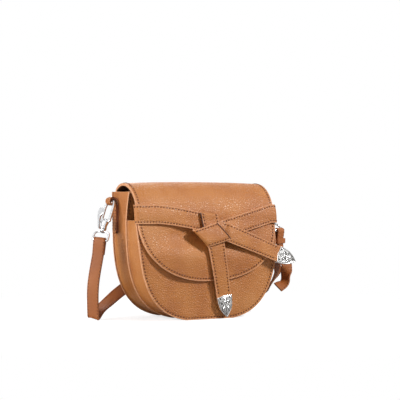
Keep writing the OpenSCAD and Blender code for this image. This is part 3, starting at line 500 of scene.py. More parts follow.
def raw_edge(name, dark, light):
    """The cut edge of the hide, rubbed smooth, in faint layers of the two colours given."""
    material, tree, shader, place = new_material(name)
    fibre = noise(tree, place, 1.4, 3.0)
    add_colour(tree, shader, fibre.outputs[0], [(0.3, dark), (0.7, light)])
    add_relief(tree, shader, fibre.outputs[0], 0.25)
    shader.inputs["Roughness"].default_value = 0.62
    shader.inputs["IOR"].default_value = 1.47
    return material


def woven_cotton(name, dark, light, thread_mm):
    """Plain-woven cotton lining: crossed threads, drawn as coarse as they need to show."""
    material, tree, shader, place = new_material(name)
    bands = [add_node(tree, "ShaderNodeTexWave", {"bands_direction": axis},
                      {"Scale": per_mm(thread_mm) / 20, "Distortion": 0.4},
                       {"Vector": place}).outputs["Fac"]
             for axis in ("X", "Z")]
    weave = add_node(tree, "ShaderNodeMath", {"operation": "MULTIPLY"},
                     links={0: bands[0], 1: bands[1]})
    add_colour(tree, shader, weave.outputs[0], [(0.0, dark), (0.6, light)])
    add_relief(tree, shader, weave.outputs[0], 0.4)
    shader.inputs["Roughness"].default_value = 0.9
    return material


def polished_nickel(name, dark, light, rough):
    """Die-cast zinc plated with nickel and polished: bright and cool, with slight hairlines."""
    material, tree, shader, place = new_material(name)
    rub = noise(tree, place, 3, 3.0)
    add_colour(tree, shader, rub.outputs[0], [(0.3, dark), (0.6, light)])
    add_relief(tree, shader, rub.outputs[0], 0.12)
    gloss = add_node(tree, "ShaderNodeMapRange", values={3: rough, 4: rough + 0.15},
                     links={0: rub.outputs[0]})
    tree.links.new(gloss.outputs[0], shader.inputs["Roughness"])
    shader.inputs["Metallic"].default_value = 1.0
    return material


calf = grained_calf("pebbled_calf", "9A5826", "B26F33", "C28348", 2.5, 0.7, (0.4, 0.58))
# The strap is smoother and browner than the bag, so it reads as a plainer, harder leather
smooth_calf = grained_calf("smooth_strap_calf", "8E4C1C", "A05A22", "B06C30", 1.5, 0.3,
                           (0.52, 0.62))
# The hide's inner side has no finish: dull, brown and a little fuzzy
flesh = grained_calf("flesh_side_calf", "6F3E1C", "86502A", "9C6238", 1.2, 0.25, (0.75, 0.85))
# Cut edges paler than the grain: partly their rubbed colour, partly a painted highlight on rims
edge_and_highlight = raw_edge("pale_edge_with_painted_highlight", "BC7F52", "D9A27A")
# The strap's edges are painted a shade darker than the cut edges, and the knot's creases get
# a near-black tube that is painted shade, which draws the knot's turns apart
strap_edge = raw_edge("painted_strap_edge", "8A5430", "AC7248")
crease_shade = raw_edge("painted_crease_shade", "3A1C0C", "52290F")
tab_edge = raw_edge("dyed_tab_edge", "7C4630", "A26B50")
# Waxed linen, so each stitch reads as a dull dark dash on the tan leather
thread = raw_edge("waxed_linen_thread", "54290F", "6E3A1A")
cotton = woven_cotton("woven_cotton_lining", "8F7A60", "B8A283", 0.9)
nickel = polished_nickel("polished_nickel_plate", "CFCFD1", "EAEAEB", 0.1)
# The tips are cast, so duller than the clasps, and blackened in their sunk lines so that
# these read dark on silver
cast_nickel = polished_nickel("cast_nickel_relief", "D2D1CF", "EFEEEC", 0.14)
oxidised = polished_nickel("oxidised_nickel_recess", "2A2724", "413D39", 0.5)
LEATHER_SET = [calf, edge_and_highlight, flesh]
STRAP_SET = [smooth_calf, strap_edge]


# Camera, light and floor
def aim(obj, target):
    """A lamp or camera turned to face a place."""
    obj.rotation_euler = (Vector(target) - obj.location).to_track_quat("-Z", "Y").to_euler()


FOCUS = (0.0, -0.0025, 0.08)
view_turn, view_rise, view_far = math.radians(-29.0), math.radians(2.5), 1.5
camera_data = bpy.data.cameras.new("camera")
camera_data.sensor_width = 36.0
camera_data.lens = 110.0
camera_data.shift_x, camera_data.shift_y = 0.00875, 0.129
camera = bpy.data.objects.new("camera", camera_data)
camera.location = Vector(FOCUS) + view_far * Vector((
    math.sin(view_turn) * math.cos(view_rise), -math.cos(view_turn) * math.cos(view_rise),
    math.sin(view_rise)))
aim(camera, FOCUS)
scene.collection.objects.link(camera)
scene.camera = camera


def add_lamp(name, place, size, power):
    """A round soft lamp that looks at the bag."""
    data = bpy.data.lights.new(name, "AREA")
    data.shape = "DISK"
    data.size = size
    data.energy = power
    lamp = bpy.data.objects.new(name, data)
    lamp.location = place
    aim(lamp, (0, 0, 0.09))
    scene.collection.objects.link(lamp)


add_lamp("key_lamp", (0.79, -1.09, 1.0), 0.35, 25)
add_lamp("side_lamp", (-1.5, -0.05, 0.6), 1.2, 28)
add_lamp("rear_lamp", (0.3, 1.3, 1.1), 0.8, 9)

world = bpy.data.worlds.new("studio")
scene.world = world
world.use_nodes = True
world.node_tree.nodes.clear()
sky = world.node_tree
rays = add_node(sky, "ShaderNodeLightPath")
dim = add_node(sky, "ShaderNodeBackground", values={"Color": linear("F4F4F6"), "Strength": 0.11})
white = add_node(sky, "ShaderNodeBackground", values={"Color": (1, 1, 1, 1), "Strength": 1.0})
direct = add_node(sky, "ShaderNodeMath", {"operation": "MAXIMUM"}, links={
    0: rays.outputs["Is Camera Ray"], 1: rays.outputs["Is Glossy Ray"]})
seen = add_node(sky, "ShaderNodeMath", {"operation": "MAXIMUM"}, links={
    0: direct.outputs[0], 1: rays.outputs["Is Transmission Ray"]})
both = add_node(sky, "ShaderNodeMixShader", links={
    0: seen.outputs[0], 1: dim.outputs[0], 2: white.outputs[0]})
add_node(sky, "ShaderNodeOutputWorld", links={0: both.outputs[0]})


def add_card(name, heading, wide, low, high, far=1.25):
    """A dark studio card that only reflections see, so polished metal gets its dark outlines."""
    turn = np.radians(heading + np.linspace(-wide / 2, wide / 2, 9))
    verts = [[math.sin(a) * far * 1000, -math.cos(a) * far * 1000, z]
             for z in (low, high) for a in turn]
    material, tree, shader, _ = new_material("matt_black_card")
    shader.inputs["Base Color"].default_value = linear("1E1D1C")
    shader.inputs["Roughness"].default_value = 0.9
    clear = add_node(tree, "ShaderNodeBsdfTransparent")
    light = add_node(tree, "ShaderNodeLightPath")
    mix = add_node(tree, "ShaderNodeMixShader", links={
        0: light.outputs["Is Glossy Ray"], 1: clear.outputs[0], 2: shader.outputs[0]})
    tree.links.new(mix.outputs[0], tree.nodes["Material Output"].inputs[0])
    add_mesh(name, verts, quads(2, 9), [material])


add_card("left_card", -118, 44, -100, 900)
add_card("right_card", 62, 34, -100, 700)
add_card("low_card", -29, 60, -20, 330, 1.7)


def add_floor():
    """A pale matt floor that keeps the bag's shadow and reads near white in view."""
    sides, sunk = 64, -0.05
    angle = np.linspace(0, 2 * math.pi, sides, endpoint=False)
    rings = [np.stack([np.cos(angle) * r, np.sin(angle) * r, np.full(sides, sunk)], 1)
             for r in (10, 400, 2600)]
    faces = [*quads(3, sides, closed=True), list(range(sides))]
    material, tree, shader, place = new_material("pale_studio_floor")
    shader.inputs["Base Color"].default_value = linear("A8A8A8")
    shader.inputs["Roughness"].default_value = 0.9
    light = add_node(tree, "ShaderNodeLightPath")
    far = add_node(tree, "ShaderNodeVectorMath", {"operation": "LENGTH"}, links={0: place})
    fade = add_node(tree, "ShaderNodeMapRange", {"interpolation_type": "SMOOTHSTEP"},
                    {1: 0.16, 2: 0.42}, {0: far.outputs["Value"]})
    glow = add_node(tree, "ShaderNodeEmission", values={"Color": (1, 1, 1, 1), "Strength": 0.72})
    lit = add_node(tree, "ShaderNodeAddShader", links={0: shader.outputs[0], 1: glow.outputs[0]})
    plain_white = add_node(tree, "ShaderNodeEmission",
                           values={"Color": (1, 1, 1, 1), "Strength": 1.0})
    seen = add_node(tree, "ShaderNodeMixShader", links={
        0: fade.outputs[0], 1: lit.outputs[0], 2: plain_white.outputs[0]})
    choice = add_node(tree, "ShaderNodeMixShader", links={
        0: light.outputs["Is Camera Ray"], 1: shader.outputs[0], 2: seen.outputs[0]})
    tree.links.new(choice.outputs[0], tree.nodes["Material Output"].inputs[0])
    add_mesh("floor", np.concatenate(rings), faces, [material])


add_floor()


# Bag body: panels, gussets and linings
def outline(top, inset=0.0, step=2.0, half=BAG_W / 2, low=0.0, full_h=CORNER_H, sag=1.5, power=3.0):
    """A rounded panel's rim from its upper left corner round to its upper right one, as X and Z."""
    share = np.linspace(0, 1, 200) ** 2.6
    floor_h = low + inset
    zs = floor_h + (min(top, full_h) - floor_h) * share
    right = np.stack([half_width(zs, inset, half, low, full_h, sag, power), zs], 1)
    if top > full_h:
        right = np.vstack([right, [half - inset, top]])
    left = right[::-1] * [-1, 1]
    return spaced(np.vstack([left, right]), step)


def rim_distance(x, z, rim):
    """How far each point lies from a line in X and Z."""
    flat = np.stack([x.ravel(), z.ravel()], 1)
    far = np.sqrt(((flat[:, None] - rim[None]) ** 2).sum(-1)).min(1)
    return far.reshape(x.shape)


def panel_grid(face, outward, top, crown, seed, dent=None):
    """A sewn panel's outer face, drawn in at its stitched rim and slack between."""
    rows, cols = 54, 61
    z = np.repeat((np.linspace(0, 1, rows) ** 1.35 * top)[:, None], cols, 1)
    u = np.linspace(-1, 1, cols)
    u = np.sign(u) * np.abs(u) ** 0.8
    x = u[None] * half_width(z)
    far = rim_distance(x, z, outline(top, 0, 1.5))
    groove = -0.35 * np.exp(-((far - STITCH_IN) / 0.9) ** 2)
    puff = crown * (1 - np.exp(-(far / 14) ** 2)) * np.clip((top - z) / 12, 0, 1)
    points = np.stack([x, face(z), z], -1)
    slack = 0.35 * waves(points, 60, seed) * np.clip((far - 2) / 12, 0, 1)
    points[..., 1] += outward * (groove + puff + slack * np.clip((top - z) / 10, 0, 1))
    points[..., 2] -= MOUTH_SAG * np.clip(z / top, 0, 1) ** 8 * (1 - u[None] ** 2)
    if dent:
        points[..., 1] += dent(x, z)
    return points


def add_panel(name, face, outward, top, crown, seed, dent=None):
    """One panel's leather, and the row that its stitches follow."""
    grid = panel_grid(face, outward, top, crown, seed, dent)
    piece = leather_sheet(name + "_leather", grid, LEATHER, LEATHER_SET, flip=outward > 0)
    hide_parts(name)
    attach(piece, "bag")
    rim = outline(top - 1.5, STITCH_IN, 1.5)
    path = np.stack([rim[:, 0], face(rim[:, 1]) - outward * 0.3, rim[:, 1]], 1)
    return path, np.tile([0.0, float(outward), 0.0], (len(path), 1))


def add_panel_bead(name, face, outward, top, dent=None):
    """The painted edge all round a panel, along its mouth too."""
    rim = outline(top - 0.3, 0.3, 1.5)
    mouth = np.stack([np.linspace(rim[-1, 0], rim[0, 0], 80)[1:-1], np.full(78, top - 0.3)], 1)
    rim = np.vstack([rim, mouth])
    sag = MOUTH_SAG * (1 - (rim[:, 0] / (BAG_W / 2)) ** 2) * np.clip(rim[:, 1] / top, 0, 1) ** 8
    drawn = dent(rim[:, 0], rim[:, 1]) if dent else 0
    path = np.stack([rim[:, 0], face(rim[:, 1]) + drawn, np.maximum(rim[:, 1] - sag, 0.45)], 1)
    normal = np.tile([0.0, outward, 0.0], (len(path), 1))
    add_trim(name, [bead_parts(path, normal, LEATHER, 1.1, closed=True)], edge_and_highlight, "bag")


def add_gusset(name, front, back, top, seed):
    """A band round a compartment whose edges turn out to meet the panels at the seams."""
    rim = relaxed(outline(top, SEAM_LIP, 2.2), 3)
    tangent = unit(np.gradient(rim, axis=0))
    outward = np.stack([tangent[:, 1], -tangent[:, 0]], 1)
    across = np.array([0, 0.02, 0.045, 0.075, 0.12, 0.2, 0.32, 0.44,
                       0.56, 0.68, 0.8, 0.88, 0.925, 0.955, 0.98, 1])
    y0, y1 = front(rim[:, 1]), back(rim[:, 1])
    y = y0[:, None] + (y1 - y0)[:, None] * across[None]
    gap = np.minimum(y - y0[:, None], y1[:, None] - y)
    turn = 1.7 * np.exp(-(gap / 1.0) ** 2)
    puff = 0.9 * (1 - np.exp(-(gap / 7) ** 2))
    points = np.stack([np.repeat(rim[:, :1], len(across), 1), y,
                       np.repeat(rim[:, 1:], len(across), 1)], -1)
    slack = 0.5 * waves(points, 46, seed) * np.clip(gap / 8, 0, 1)
    rise = (turn + puff + slack - 0.3) * np.clip((rim[:, 1] + 6) / 8, 0, 1)[:, None]
    points[..., 0] += outward[:, None, 0] * rise
    points[..., 2] = np.maximum(points[..., 2] + outward[:, None, 1] * rise, 0.3)
    piece = leather_sheet(name + "_leather", points, LEATHER - 0.2, LEATHER_SET)
    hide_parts(name)
    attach(piece, "bag")


def add_lining(name, front, back, top, dent=None):
    """An open cloth pouch with a turned hem."""
    inset = SEAM_LIP + LEATHER + SEAM_GAP
    levels = np.r_[top, top - 0.5, np.linspace(top - 4, 60, 14),
                   np.linspace(52, inset + 3, 14), inset + 0.6]
    grids = []
    for skin in (0.0, LINING_T):
        rows = []
        for z in levels:
            half = float(half_width(max(z, inset + 0.2), inset + skin))
            y0, y1 = float(front(z)) + skin, float(back(z)) - skin
            xs = half * np.sin(np.linspace(-math.pi / 2, math.pi / 2, 25))
            ys = y0 + (y1 - y0) * np.linspace(0, 1, 9)[1:-1]
            dents = dent(xs, z) if dent else 0 * xs
            ring = ([[x, y0 + d] for x, d in zip(xs, dents)] + [[half, y] for y in ys]
                    + [[x, y1] for x in xs[::-1]] + [[-half, y] for y in ys[::-1]])
            rows.append([[x, y, z + (skin if z < 10 else 0)] for x, y in ring])
        grids.append(np.array(rows, float))
    rows, cols = grids[0].shape[:2]
    grids[1] += (np.clip((top - grids[1][..., 2:]) / 20, 0, 1) * 0.25
                 * waves(grids[1], 30, 5)[..., None])
    verts = np.concatenate([g.reshape(-1, 3) for g in grids])
    n = rows * cols
    faces = [*quads(rows, cols, closed=True), *quads(rows, cols, n, closed=True)[:, ::-1]]
    faces += [[k, n + k, n + (k + 1) % cols, (k + 1) % cols] for k in range(cols)]
    faces += [list(range(n - cols, n)), list(range(2 * n - cols, 2 * n))[::-1]]
    piece = add_mesh(name + "_cloth", verts, faces, [cotton], sharp=60)
    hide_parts(name)
    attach(piece, "bag")


inner_ply = LEATHER + SEAM_GAP
behind_middle = lambda z: middle_y(z) + inner_ply
behind_front = lambda z: front_y(z) + inner_ply
before_back = lambda z: back_y(z) - inner_ply
before_middle = lambda z: middle_y(z) - SEAM_GAP
# Name, face, the way it looks out, height of its mouth, crown, seed and dent
PANELS = (("back", back_y, 1, BAG_H, 0.8, 11, None), ("middle", middle_y, -1, BAG_H, 0.0, 12, None),
          ("front", front_y, -1, FRONT_H, 0.0, 13, pinch))
panel_rows = [add_panel(name + "_panel", *facts) for name, *facts in PANELS]
for (name, *_), row in zip(PANELS, panel_rows):
    add_stitches(name + "_panel_stitches", [row], "bag")
for name, face, outward, top, _, _, dent in PANELS:
    add_panel_bead(name + "_panel_bead", face, outward, top, dent)
add_gusset("rear_gusset", behind_middle, before_back, BAG_H, 21)
add_gusset("front_gusset", behind_front, before_middle, FRONT_H, 22)
add_lining("main_lining", behind_middle, before_back, BAG_H - LINING_DROP)
add_lining("pocket_lining", behind_front, before_middle, FRONT_H - LINING_DROP, pinch)


# Flap
flap_out = LAYER_GAP + FLAP_T
hinge_h = BAG_H + SEAM_GAP
crest_y = 0.25 * BACK_FACE
hinge_y = float(back_y(hinge_h)) + flap_out
front_arch = crest_y - (float(front_y(FRONT_H)) - flap_out)
back_arch = hinge_y - crest_y


def flap_y(z):
    """Outer face of the flap's front at a height."""
    z = np.asarray(z, float)
    arch = crest_y - front_arch * np.sqrt(
        np.clip(1 - ((z - FRONT_H) / (CREST_H - FRONT_H)) ** 2, 0, 1))
    return np.where(z <= FRONT_H, front_y(z) - flap_out, arch)


def flap_section():
    """The flap's outer line as Y and Z, from its low front edge over the top to its root."""
    low = np.linspace(FLAP_LOW, FRONT_H, 60)
    turn = np.radians(np.linspace(0, 90, 60))[1:]
    line = [np.stack([front_y(low) - flap_out, low], 1),
            np.stack([crest_y - front_arch * np.cos(turn),
                       FRONT_H + (CREST_H - FRONT_H) * np.sin(turn)], 1)]
    turn = turn[::-1][1:]
    line.append(np.stack([crest_y + back_arch * np.cos(turn) ** (2 / 1.6),
                          hinge_h + (CREST_H - hinge_h) * np.sin(turn) ** (2 / 1.6)], 1))
    down = np.linspace(hinge_h, BAG_H - ROOT_L, 20)
    line.append(np.stack([back_y(down) + flap_out, down], 1))
    return relaxed(spaced(np.vstack(line), 2.4), 2)


section = flap_section()
section_s = run_lengths(section)
crest_k = int(np.argmax(section[:, 1]))


def flap_points(x, s):
    """Points of the flap's outer face, for a place across and a length along its section."""
    x, s = np.asarray(x, float), np.asarray(s, float)
    y, z = np.interp(s, section_s, section[:, 0]), np.interp(s, section_s, section[:, 1])
    front = s < section_s[crest_k]
    foot = np.where(front, BELT_H + BELT_W / 2, hinge_h)
    share = np.abs(x) / (FLAP_W / 2)
    crown = CREST_SWELL * soft_step((z - foot) / (CREST_H - foot)) * (1 - share ** 2.4)
    far = np.where(z < FRONT_H, flap_half(z) - np.abs(x), FLAP_W / 2 - np.abs(x))
    edge = soft_step(np.clip(far / 16, 0, 1) * np.clip((z - FLAP_LOW) / 16, 0, 1))
    low_puff = FRONT_SWELL * np.exp(-((z - 80) / 14) ** 2) * (1 - share ** 4)
    top_puff = 0.7 * np.exp(-((z - 148) / 9) ** 2) * edge
    points = np.stack([x, y, z + crown], -1)
    slack = 0.35 * waves(points, 52, 31) * edge * (1 - np.exp(-((z - 118) / 14) ** 2))
    lobes = soft_step((104 - z) / 30) * (
        2.4 * np.exp(-((x + 50) / 24) ** 2) + 1.6 * np.exp(-((x - 62) / 16) ** 2))
    points[..., 1] += np.where(front, pinch(x, z) - (low_puff + top_puff + slack + lobes), 0.0)
    return points


def flap_side(s):
    """Half width of the flap at a length along its section."""
    y, z = np.interp(s, section_s, section[:, 0]), np.interp(s, section_s, section[:, 1])
    front = s <= s_of_z(FRONT_H)
    taper = np.clip((y - crest_y) / (hinge_y + 1 - crest_y), 0, 1) * (ROOT_TAPER + 1) - 1
    return np.where(front, flap_half(z), FLAP_W / 2 - np.maximum(taper, 0))


def s_of_z(z):
    """The length along the flap's section at which its front has a height."""
    return np.interp(z, section[:crest_k, 1], section_s[:crest_k])


def add_flap():
    """One continuous hide from the low front edge over both mouths to its sewn root."""
    s = np.r_[np.linspace(0, 12, 13)[:-1], np.linspace(12, section_s[-1], 96)]
    u = np.linspace(-1, 1, 81)
    u = np.sign(u) * np.abs(u) ** 0.8
    points = flap_points(u[None] * flap_side(s)[:, None], np.repeat(s[:, None], len(u), 1))
    from_magnet = points[..., 0] ** 2 + (points[..., 2] - MAGNET_H) ** 2
    over_magnet = np.exp(-(from_magnet / 11 ** 2) ** 2) * (points[..., 1] < 0)
    piece = leather_sheet("flap_leather", points, FLAP_T + 0.6 * over_magnet, LEATHER_SET,
                          bulge=0.35)
    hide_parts("flap", "flap_root")
    bend = ("bag", "flap", (0, 0.0405, 0.1500), (0, 0.0355, 0.1515))
    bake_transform(piece)
    return bend


def flap_rim(inset):
    """A line on the flap at a distance in from its rim, from root to root."""
    low = outline(FRONT_H, inset, 1.5, FLAP_W / 2, FLAP_LOW, FRONT_H, FLAP_SAG, FLAP_POWER)
    s_low = s_of_z(low[:, 1])
    s_side = np.arange(s_of_z(FRONT_H) + 1.5, section_s[-1] - 3, 1.5)
    side = flap_side(s_side) - inset
    x = np.r_[-side[::-1], low[:, 0], side]
    s = np.r_[s_side[::-1], s_low, s_side]
    along = unit(flap_points(x, s + 0.5) - flap_points(x, s - 0.5))
    return flap_points(x, s), np.stack([np.zeros(len(x)), -along[:, 2], along[:, 1]], 1)


flap_bend = add_flap()
add_stitches("flap_rim_stitches", [flap_rim(3.0)], "flap", blend=flap_bend)
add_trim("flap_rim_bead", [bead_parts(*flap_rim(0.25), FLAP_T)], edge_and_highlight, "flap", flap_bend)
root_x = np.arange(-85, 85.1, 1.5)
root_rows = [(flap_points(root_x, np.full(len(root_x), s)),
              np.tile([0.0, 1.0, 0.0], (len(root_x), 1)))
             for s in section_s[-1] - np.array([3.2, 8.5])]
add_stitches("flap_root_stitches", root_rows, "bag")


# Belt
def left_belt_z(x):
    """Height of the belt's middle on the left of the knot."""
    flat_x, end_x = -0.37 * FLAP_W, -0.037 * FLAP_W
    return BELT_H - 0.45 * BELT_W * ease((x - flat_x) / (end_x - flat_x), 1.4)


def right_belt_z(x):
    """Height of the belt's middle on the right of the knot."""
    flat_x, end_x = 0.468 * FLAP_W, 0.15 * FLAP_W
    return BELT_H - 0.73 * BELT_W * ease((flat_x - x) / (flat_x - end_x), 1)


def across_shares(middle):
    """Places across a strip, close together at its edges and along its rows of stitches."""
    half = [middle, 0.34, 0.385, 0.43, 0.47, 0.5]
    return np.array([-share for share in half[::-1]] + [0] + half)


def crown_of(share, height=0.55):
    """How far a strip swells across its width, with a groove along each row of stitches."""
    return (height * (1 - (2 * np.abs(share)) ** 4)
            - 0.28 * np.exp(-((np.abs(share) - 0.385) / 0.035) ** 2))


def belt_grid(side, middle, inner_x, inner_slant, seed):
    """A half of the belt: along the flap's face, then round its side edge."""
    flat, corner, outer = 46, 3.0, FLAP_W / 2 + LAYER_GAP + BELT_T
    turn = np.radians(np.linspace(0, 90, 7))[1:]
    depth = LAYER_GAP + BELT_T + FLAP_T
    x = np.concatenate([np.linspace(inner_x, outer - corner, flat),
                        outer - corner + corner * np.sin(turn), np.full(3, outer)])
    inward = np.concatenate([np.zeros(flat), corner * (1 - np.cos(turn)),
                                 np.linspace(corner, depth, 4)[1:]])
    across = across_shares(0.2)
    grid = np.zeros((len(x), len(across), 3))
    for k, share in enumerate(across):
        px = x.copy()
        px[:flat] = x[:flat] + inner_slant * share * np.linspace(1, 0, flat)
        z = middle(side * px) + share * BELT_W
        crown = crown_of(share)
        y = flap_y(z) - LAYER_GAP - BELT_T - crown * np.exp(-(inward / 3) ** 2) + inward
        grid[:, k] = np.stack([side * (px + crown * 0.5 * inward / depth), y, z], 1)
    dive = soft_step((26 - np.abs(grid[..., 0] - 4)) / 14)
    grid[..., 1] += 0.45 * pinch(grid[..., 0], grid[..., 2]) * dive
    grid[..., 1] -= 0.3 * waves(grid, 40, seed)
    return grid


def add_strip(name, grid, nodes, flip, trim=(1, -1), blend=None):
    """A two-ply strip with a row of stitches and a painted edge along both sides."""
    piece = leather_sheet(name + "_leather", grid, BELT_T, [calf, edge_and_highlight, calf], flip=flip,
                          bulge=0.28)
    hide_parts(*nodes)
    if blend:
        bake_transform(piece)
    else:
        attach(piece, "flap")
    n = normals_of(grid, flip)
    rows, beads = [], []
    for edge in ("left", "right"):
        points, ups = line_in_grid(grid, n, edge, 2.3)
        rows.append((points[slice(*trim)], ups[slice(*trim)]))
        beads.append(bead_parts(*line_in_grid(grid, n, edge, 0.2), BELT_T, 1.0))
    add_stitches(name + "_stitches", rows, "flap", blend)
    add_trim(name + "_beads", beads, edge_and_highlight, "flap", blend)


ACROSS = across_shares(0.22)
add_strip("belt_left", belt_grid(-1, left_belt_z, 6.96, 0.0, 41), ["belt_left"], False)
add_strip("belt_right", belt_grid(1, right_belt_z, 22.0, -14.0, 42), ["belt_right"], True)


# Knot and tails
def layer_y(z, layer):
    """Middle of a layer of the knot at a height."""
    return flap_y(z) - 0.5 - layer * (LAYER_GAP + BELT_T) + BELT_T / 2


def turned(v, *turns):
    """Points turned about the named axes in order, each by its angle in degrees."""
    v = np.asarray(v, float)
    for axis, angle in turns:
        v = v @ np.array(Matrix.Rotation(math.radians(angle), 3, axis)).T
    return v


drop_hinge = np.array([0.21 * BELT_W, BELT_H - 1.82 * BELT_W])
side_hinge = np.array([1.3 * BELT_W, BELT_H - 1.13 * BELT_W])
DROP_ANGLE, SIDE_ANGLE = -10.5, -68.5


def dir_of(angle):
    """The way a tail runs from its hinge, as X and Z."""
    a = math.radians(angle)
    return np.array([-math.sin(a), -math.cos(a)])


drop_dir, side_dir = dir_of(DROP_ANGLE), dir_of(SIDE_ANGLE)


def tail_place(hinge, *turns):
    """A function that sets a tail's points at its hinge on the knot."""
    start = [hinge[0], float(layer_y(hinge[1], 2)) - BELT_T / 2, hinge[1]]
    return lambda points: turned(points, *turns) + start


on_drop = tail_place(drop_hinge, ("X", 2), ("Y", DROP_ANGLE))
on_side = tail_place(side_hinge, ("Z", 6), ("X", -2.5), ("Y", SIDE_ANGLE))


def knot_rows(places, side_a, side_b, width, crown=0.55):
    """Rows of a strip that lies on the knot's layers. A place is X, Z and its layer."""
    places = smooth(places, 4)
    count = len(places)
    widths = np.broadcast_to(np.asarray(width, float), (count,))
    side_a, side_b = np.asarray(side_a), np.asarray(side_b)
    rows = []
    for k, (x, z, layer) in enumerate(places):
        half = unit(side_a + (side_b - side_a) * k / (count - 1)) * widths[k]
        zs = z + half[1] * ACROSS
        y = layer_y(zs, layer) - BELT_T / 2 - crown_of(ACROSS, crown)
        rows.append(np.stack([x + half[0] * ACROSS, y, zs], 1))
    return np.array(rows)


def tail_rows(length, place):
    """Rows of a belt tail from its hinge line into its metal tip."""
    rows = []
    for down in np.r_[np.linspace(4, length, 18), length + POCKET_L - 1.0]:
        share = min(down / length, 1.0)
        width = TAIL_W + (TAIL_END_W - TAIL_W) * share
        fade = np.clip((length - down) / 6, 0, 1)
        curl = 0.8 * math.sin(math.pi * share)
        rows.append(place(np.stack([ACROSS * width, -crown_of(ACROSS, 0.5) * fade - curl,
                                    np.full(len(ACROSS), -down)], 1)))
    return np.array(rows)


def eased_rows(grid, rounds):
    """The same strip with its rows eased into each other."""
    grid = grid.copy()
    for _ in range(rounds):
        grid[1:-1] = 0.5 * grid[1:-1] + 0.25 * (grid[:-2] + grid[2:])
    return grid


def bend_of(body, hinge, direction):
    """Where a strip starts and stops bending between the flap and a tail."""
    y = float(layer_y(hinge[1], 2))
    a, b = hinge - direction * 1.5, hinge + direction * 7
    return ("flap", body, (a[0] * MM, y * MM, a[1] * MM), (b[0] * MM, y * MM, b[1] * MM))


def add_crease(name, line, outward):
    """A near-black tube of painted shade where one turn of the knot dips under the next."""
    verts, faces = tube(spaced(np.asarray(line) + outward, 1.0), 1.7, 1.5)
    piece = add_mesh(name, verts, faces, [crease_shade], sharp=60)
    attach(piece, "flap")


def add_fold():
    """The front fold comes over the belt's top edge and runs on as the hanging tail."""
    top = np.array([-0.06 * BELT_W, BELT_H - 0.04 * BELT_W])
    run = drop_hinge - drop_dir * 2 * SEAM_GAP - top
    at = lambda share, layer: [*(top + run * share), layer]
    tilt = math.radians(-7)
    places = ([at(-0.05, 0.95), at(-0.062, 1.5), at(-0.03, 1.95)]
              + [at(k / 8, 2.03) for k in range(9)])
    knot = knot_rows(places, [math.cos(tilt), math.sin(tilt)], [-drop_dir[1], drop_dir[0]],
                     TAIL_W * 1.03)
    grid = eased_rows(np.concatenate([knot, tail_rows(DROP_L, on_drop)]), 2)
    add_strip("drop_tail", grid, ["knot_fold", "drop_tail"], True, (6, -2),
              bend_of("drop_tail", drop_hinge, drop_dir))
    # A near-black tube of painted shade along the fold's left crease
    add_crease("fold_crease", knot[7:38, 0], [-0.35, 0.5, 0])


def add_core():
    """The inner ply runs under the fold and comes out as the side tail."""
    across = np.array([-side_dir[1], side_dir[0]])
    behind = lambda share, layer: [*(side_hinge - side_dir * share * BELT_W), layer]
    places = [behind(1.34 - 0.21 * k, 1) for k in range(5)]
    places += [behind(0.4, 1.4), behind(0.29, 1.85), behind(0.2, 2), behind(0.01, 2)]
    widths = np.linspace(TAIL_W * 0.93, TAIL_W, 4 * (len(places) - 1) + 1)
    knot = knot_rows(places, across, across, widths)
    grid = eased_rows(np.concatenate([knot, tail_rows(SIDE_L, on_side)]), 2)
    add_strip("side_tail", grid, ["knot_core", "side_tail"], True, (14, -2),
              bend_of("side_tail", side_hinge, side_dir))


def add_band():
    """The band wraps the knot from lower left to upper right."""
    left = np.array([-0.9 * BELT_W, BELT_H - 1.35 * BELT_W])
    run = np.array([0.72 * BELT_W, BELT_H - 0.9 * BELT_W]) - left
    at = lambda share, layer: [*(left + run * share), layer + 0.2]
    places = [at(0.26, -1.3), at(0.2, -0.6), at(0.14, 0.4), at(0.085, 1.2),
              at(0.05, 2.0), at(0.08, 2.65), at(0.16, 3)]
    places += [at(0.16 + 0.78 * k / 6, 3 + 0.25 * math.sin(math.pi * k / 6)) for k in range(1, 6)]
    places += [at(0.925, 2.9), at(0.97, 2.4), at(0.96, 1.7)]
    grid = eased_rows(knot_rows(places, [-0.69, 0.72], [-0.66, 0.75], 1.2 * BELT_W, 1.5), 1)
    add_strip("knot_band", grid, ["knot_band"], True, (20, -8))
    # A near-black tube of painted shade along the band's right end
    add_crease("band_crease", grid[-9, 1:-1], [1.0, 0.4, 0.3])


add_fold()
add_core()
add_band()


# Metal tips with an engraved scroll and leaf
def spiral(cx, cz, r0, r1, a0, a1, n=40):
    """A spiral from one radius and angle to another, as X and Z."""
    t = np.linspace(0, 1, n)
    r, a = r0 + (r1 - r0) * t, np.radians(a0 + (a1 - a0) * t)
    return np.stack([cx + r * np.cos(a), cz + r * np.sin(a)], 1)


def ornament_lines():
    """A scroll over a leaf, as lines with their widths, in a tip 20.6 wide and 27 long."""
    lines = []
    for side in (-1, 1):
        flip = np.array([side, 1.0])
        lines.append((spiral(3.3, -8.2, 0.4, 2.5, 200, -180) * flip, 0.62))
        lines.append((spiral(3.1, -13.8, 0.3, 1.9, -160, 170) * flip, 0.55))
        for points, width in (([[0.9, -11.2], [2.6, -11.6], [4.9, -10.6], [6.6, -7.6]], 0.5),
                              ([[0.6, -22.6], [2.1, -19.8], [2.7, -17.2], [1.6, -15.6]], 0.5),
                              ([[5.6, -13.6], [4.9, -17.0], [3.4, -20.0]], 0.45)):
            lines.append((smooth(points, 10) * flip, width))
    lines.append((smooth([[0, -24.0], [0.0, -19.0], [0.0, -14.0], [0.0, -10.5]], 10), 0.5))
    lines.append((spiral(0, -5.2, 1.7, 1.7, 0, 360), 0.55))
    lines.append((spiral(0, -5.2, 0.1, 0.1, 0, 360, 6), 0.75))
    return lines


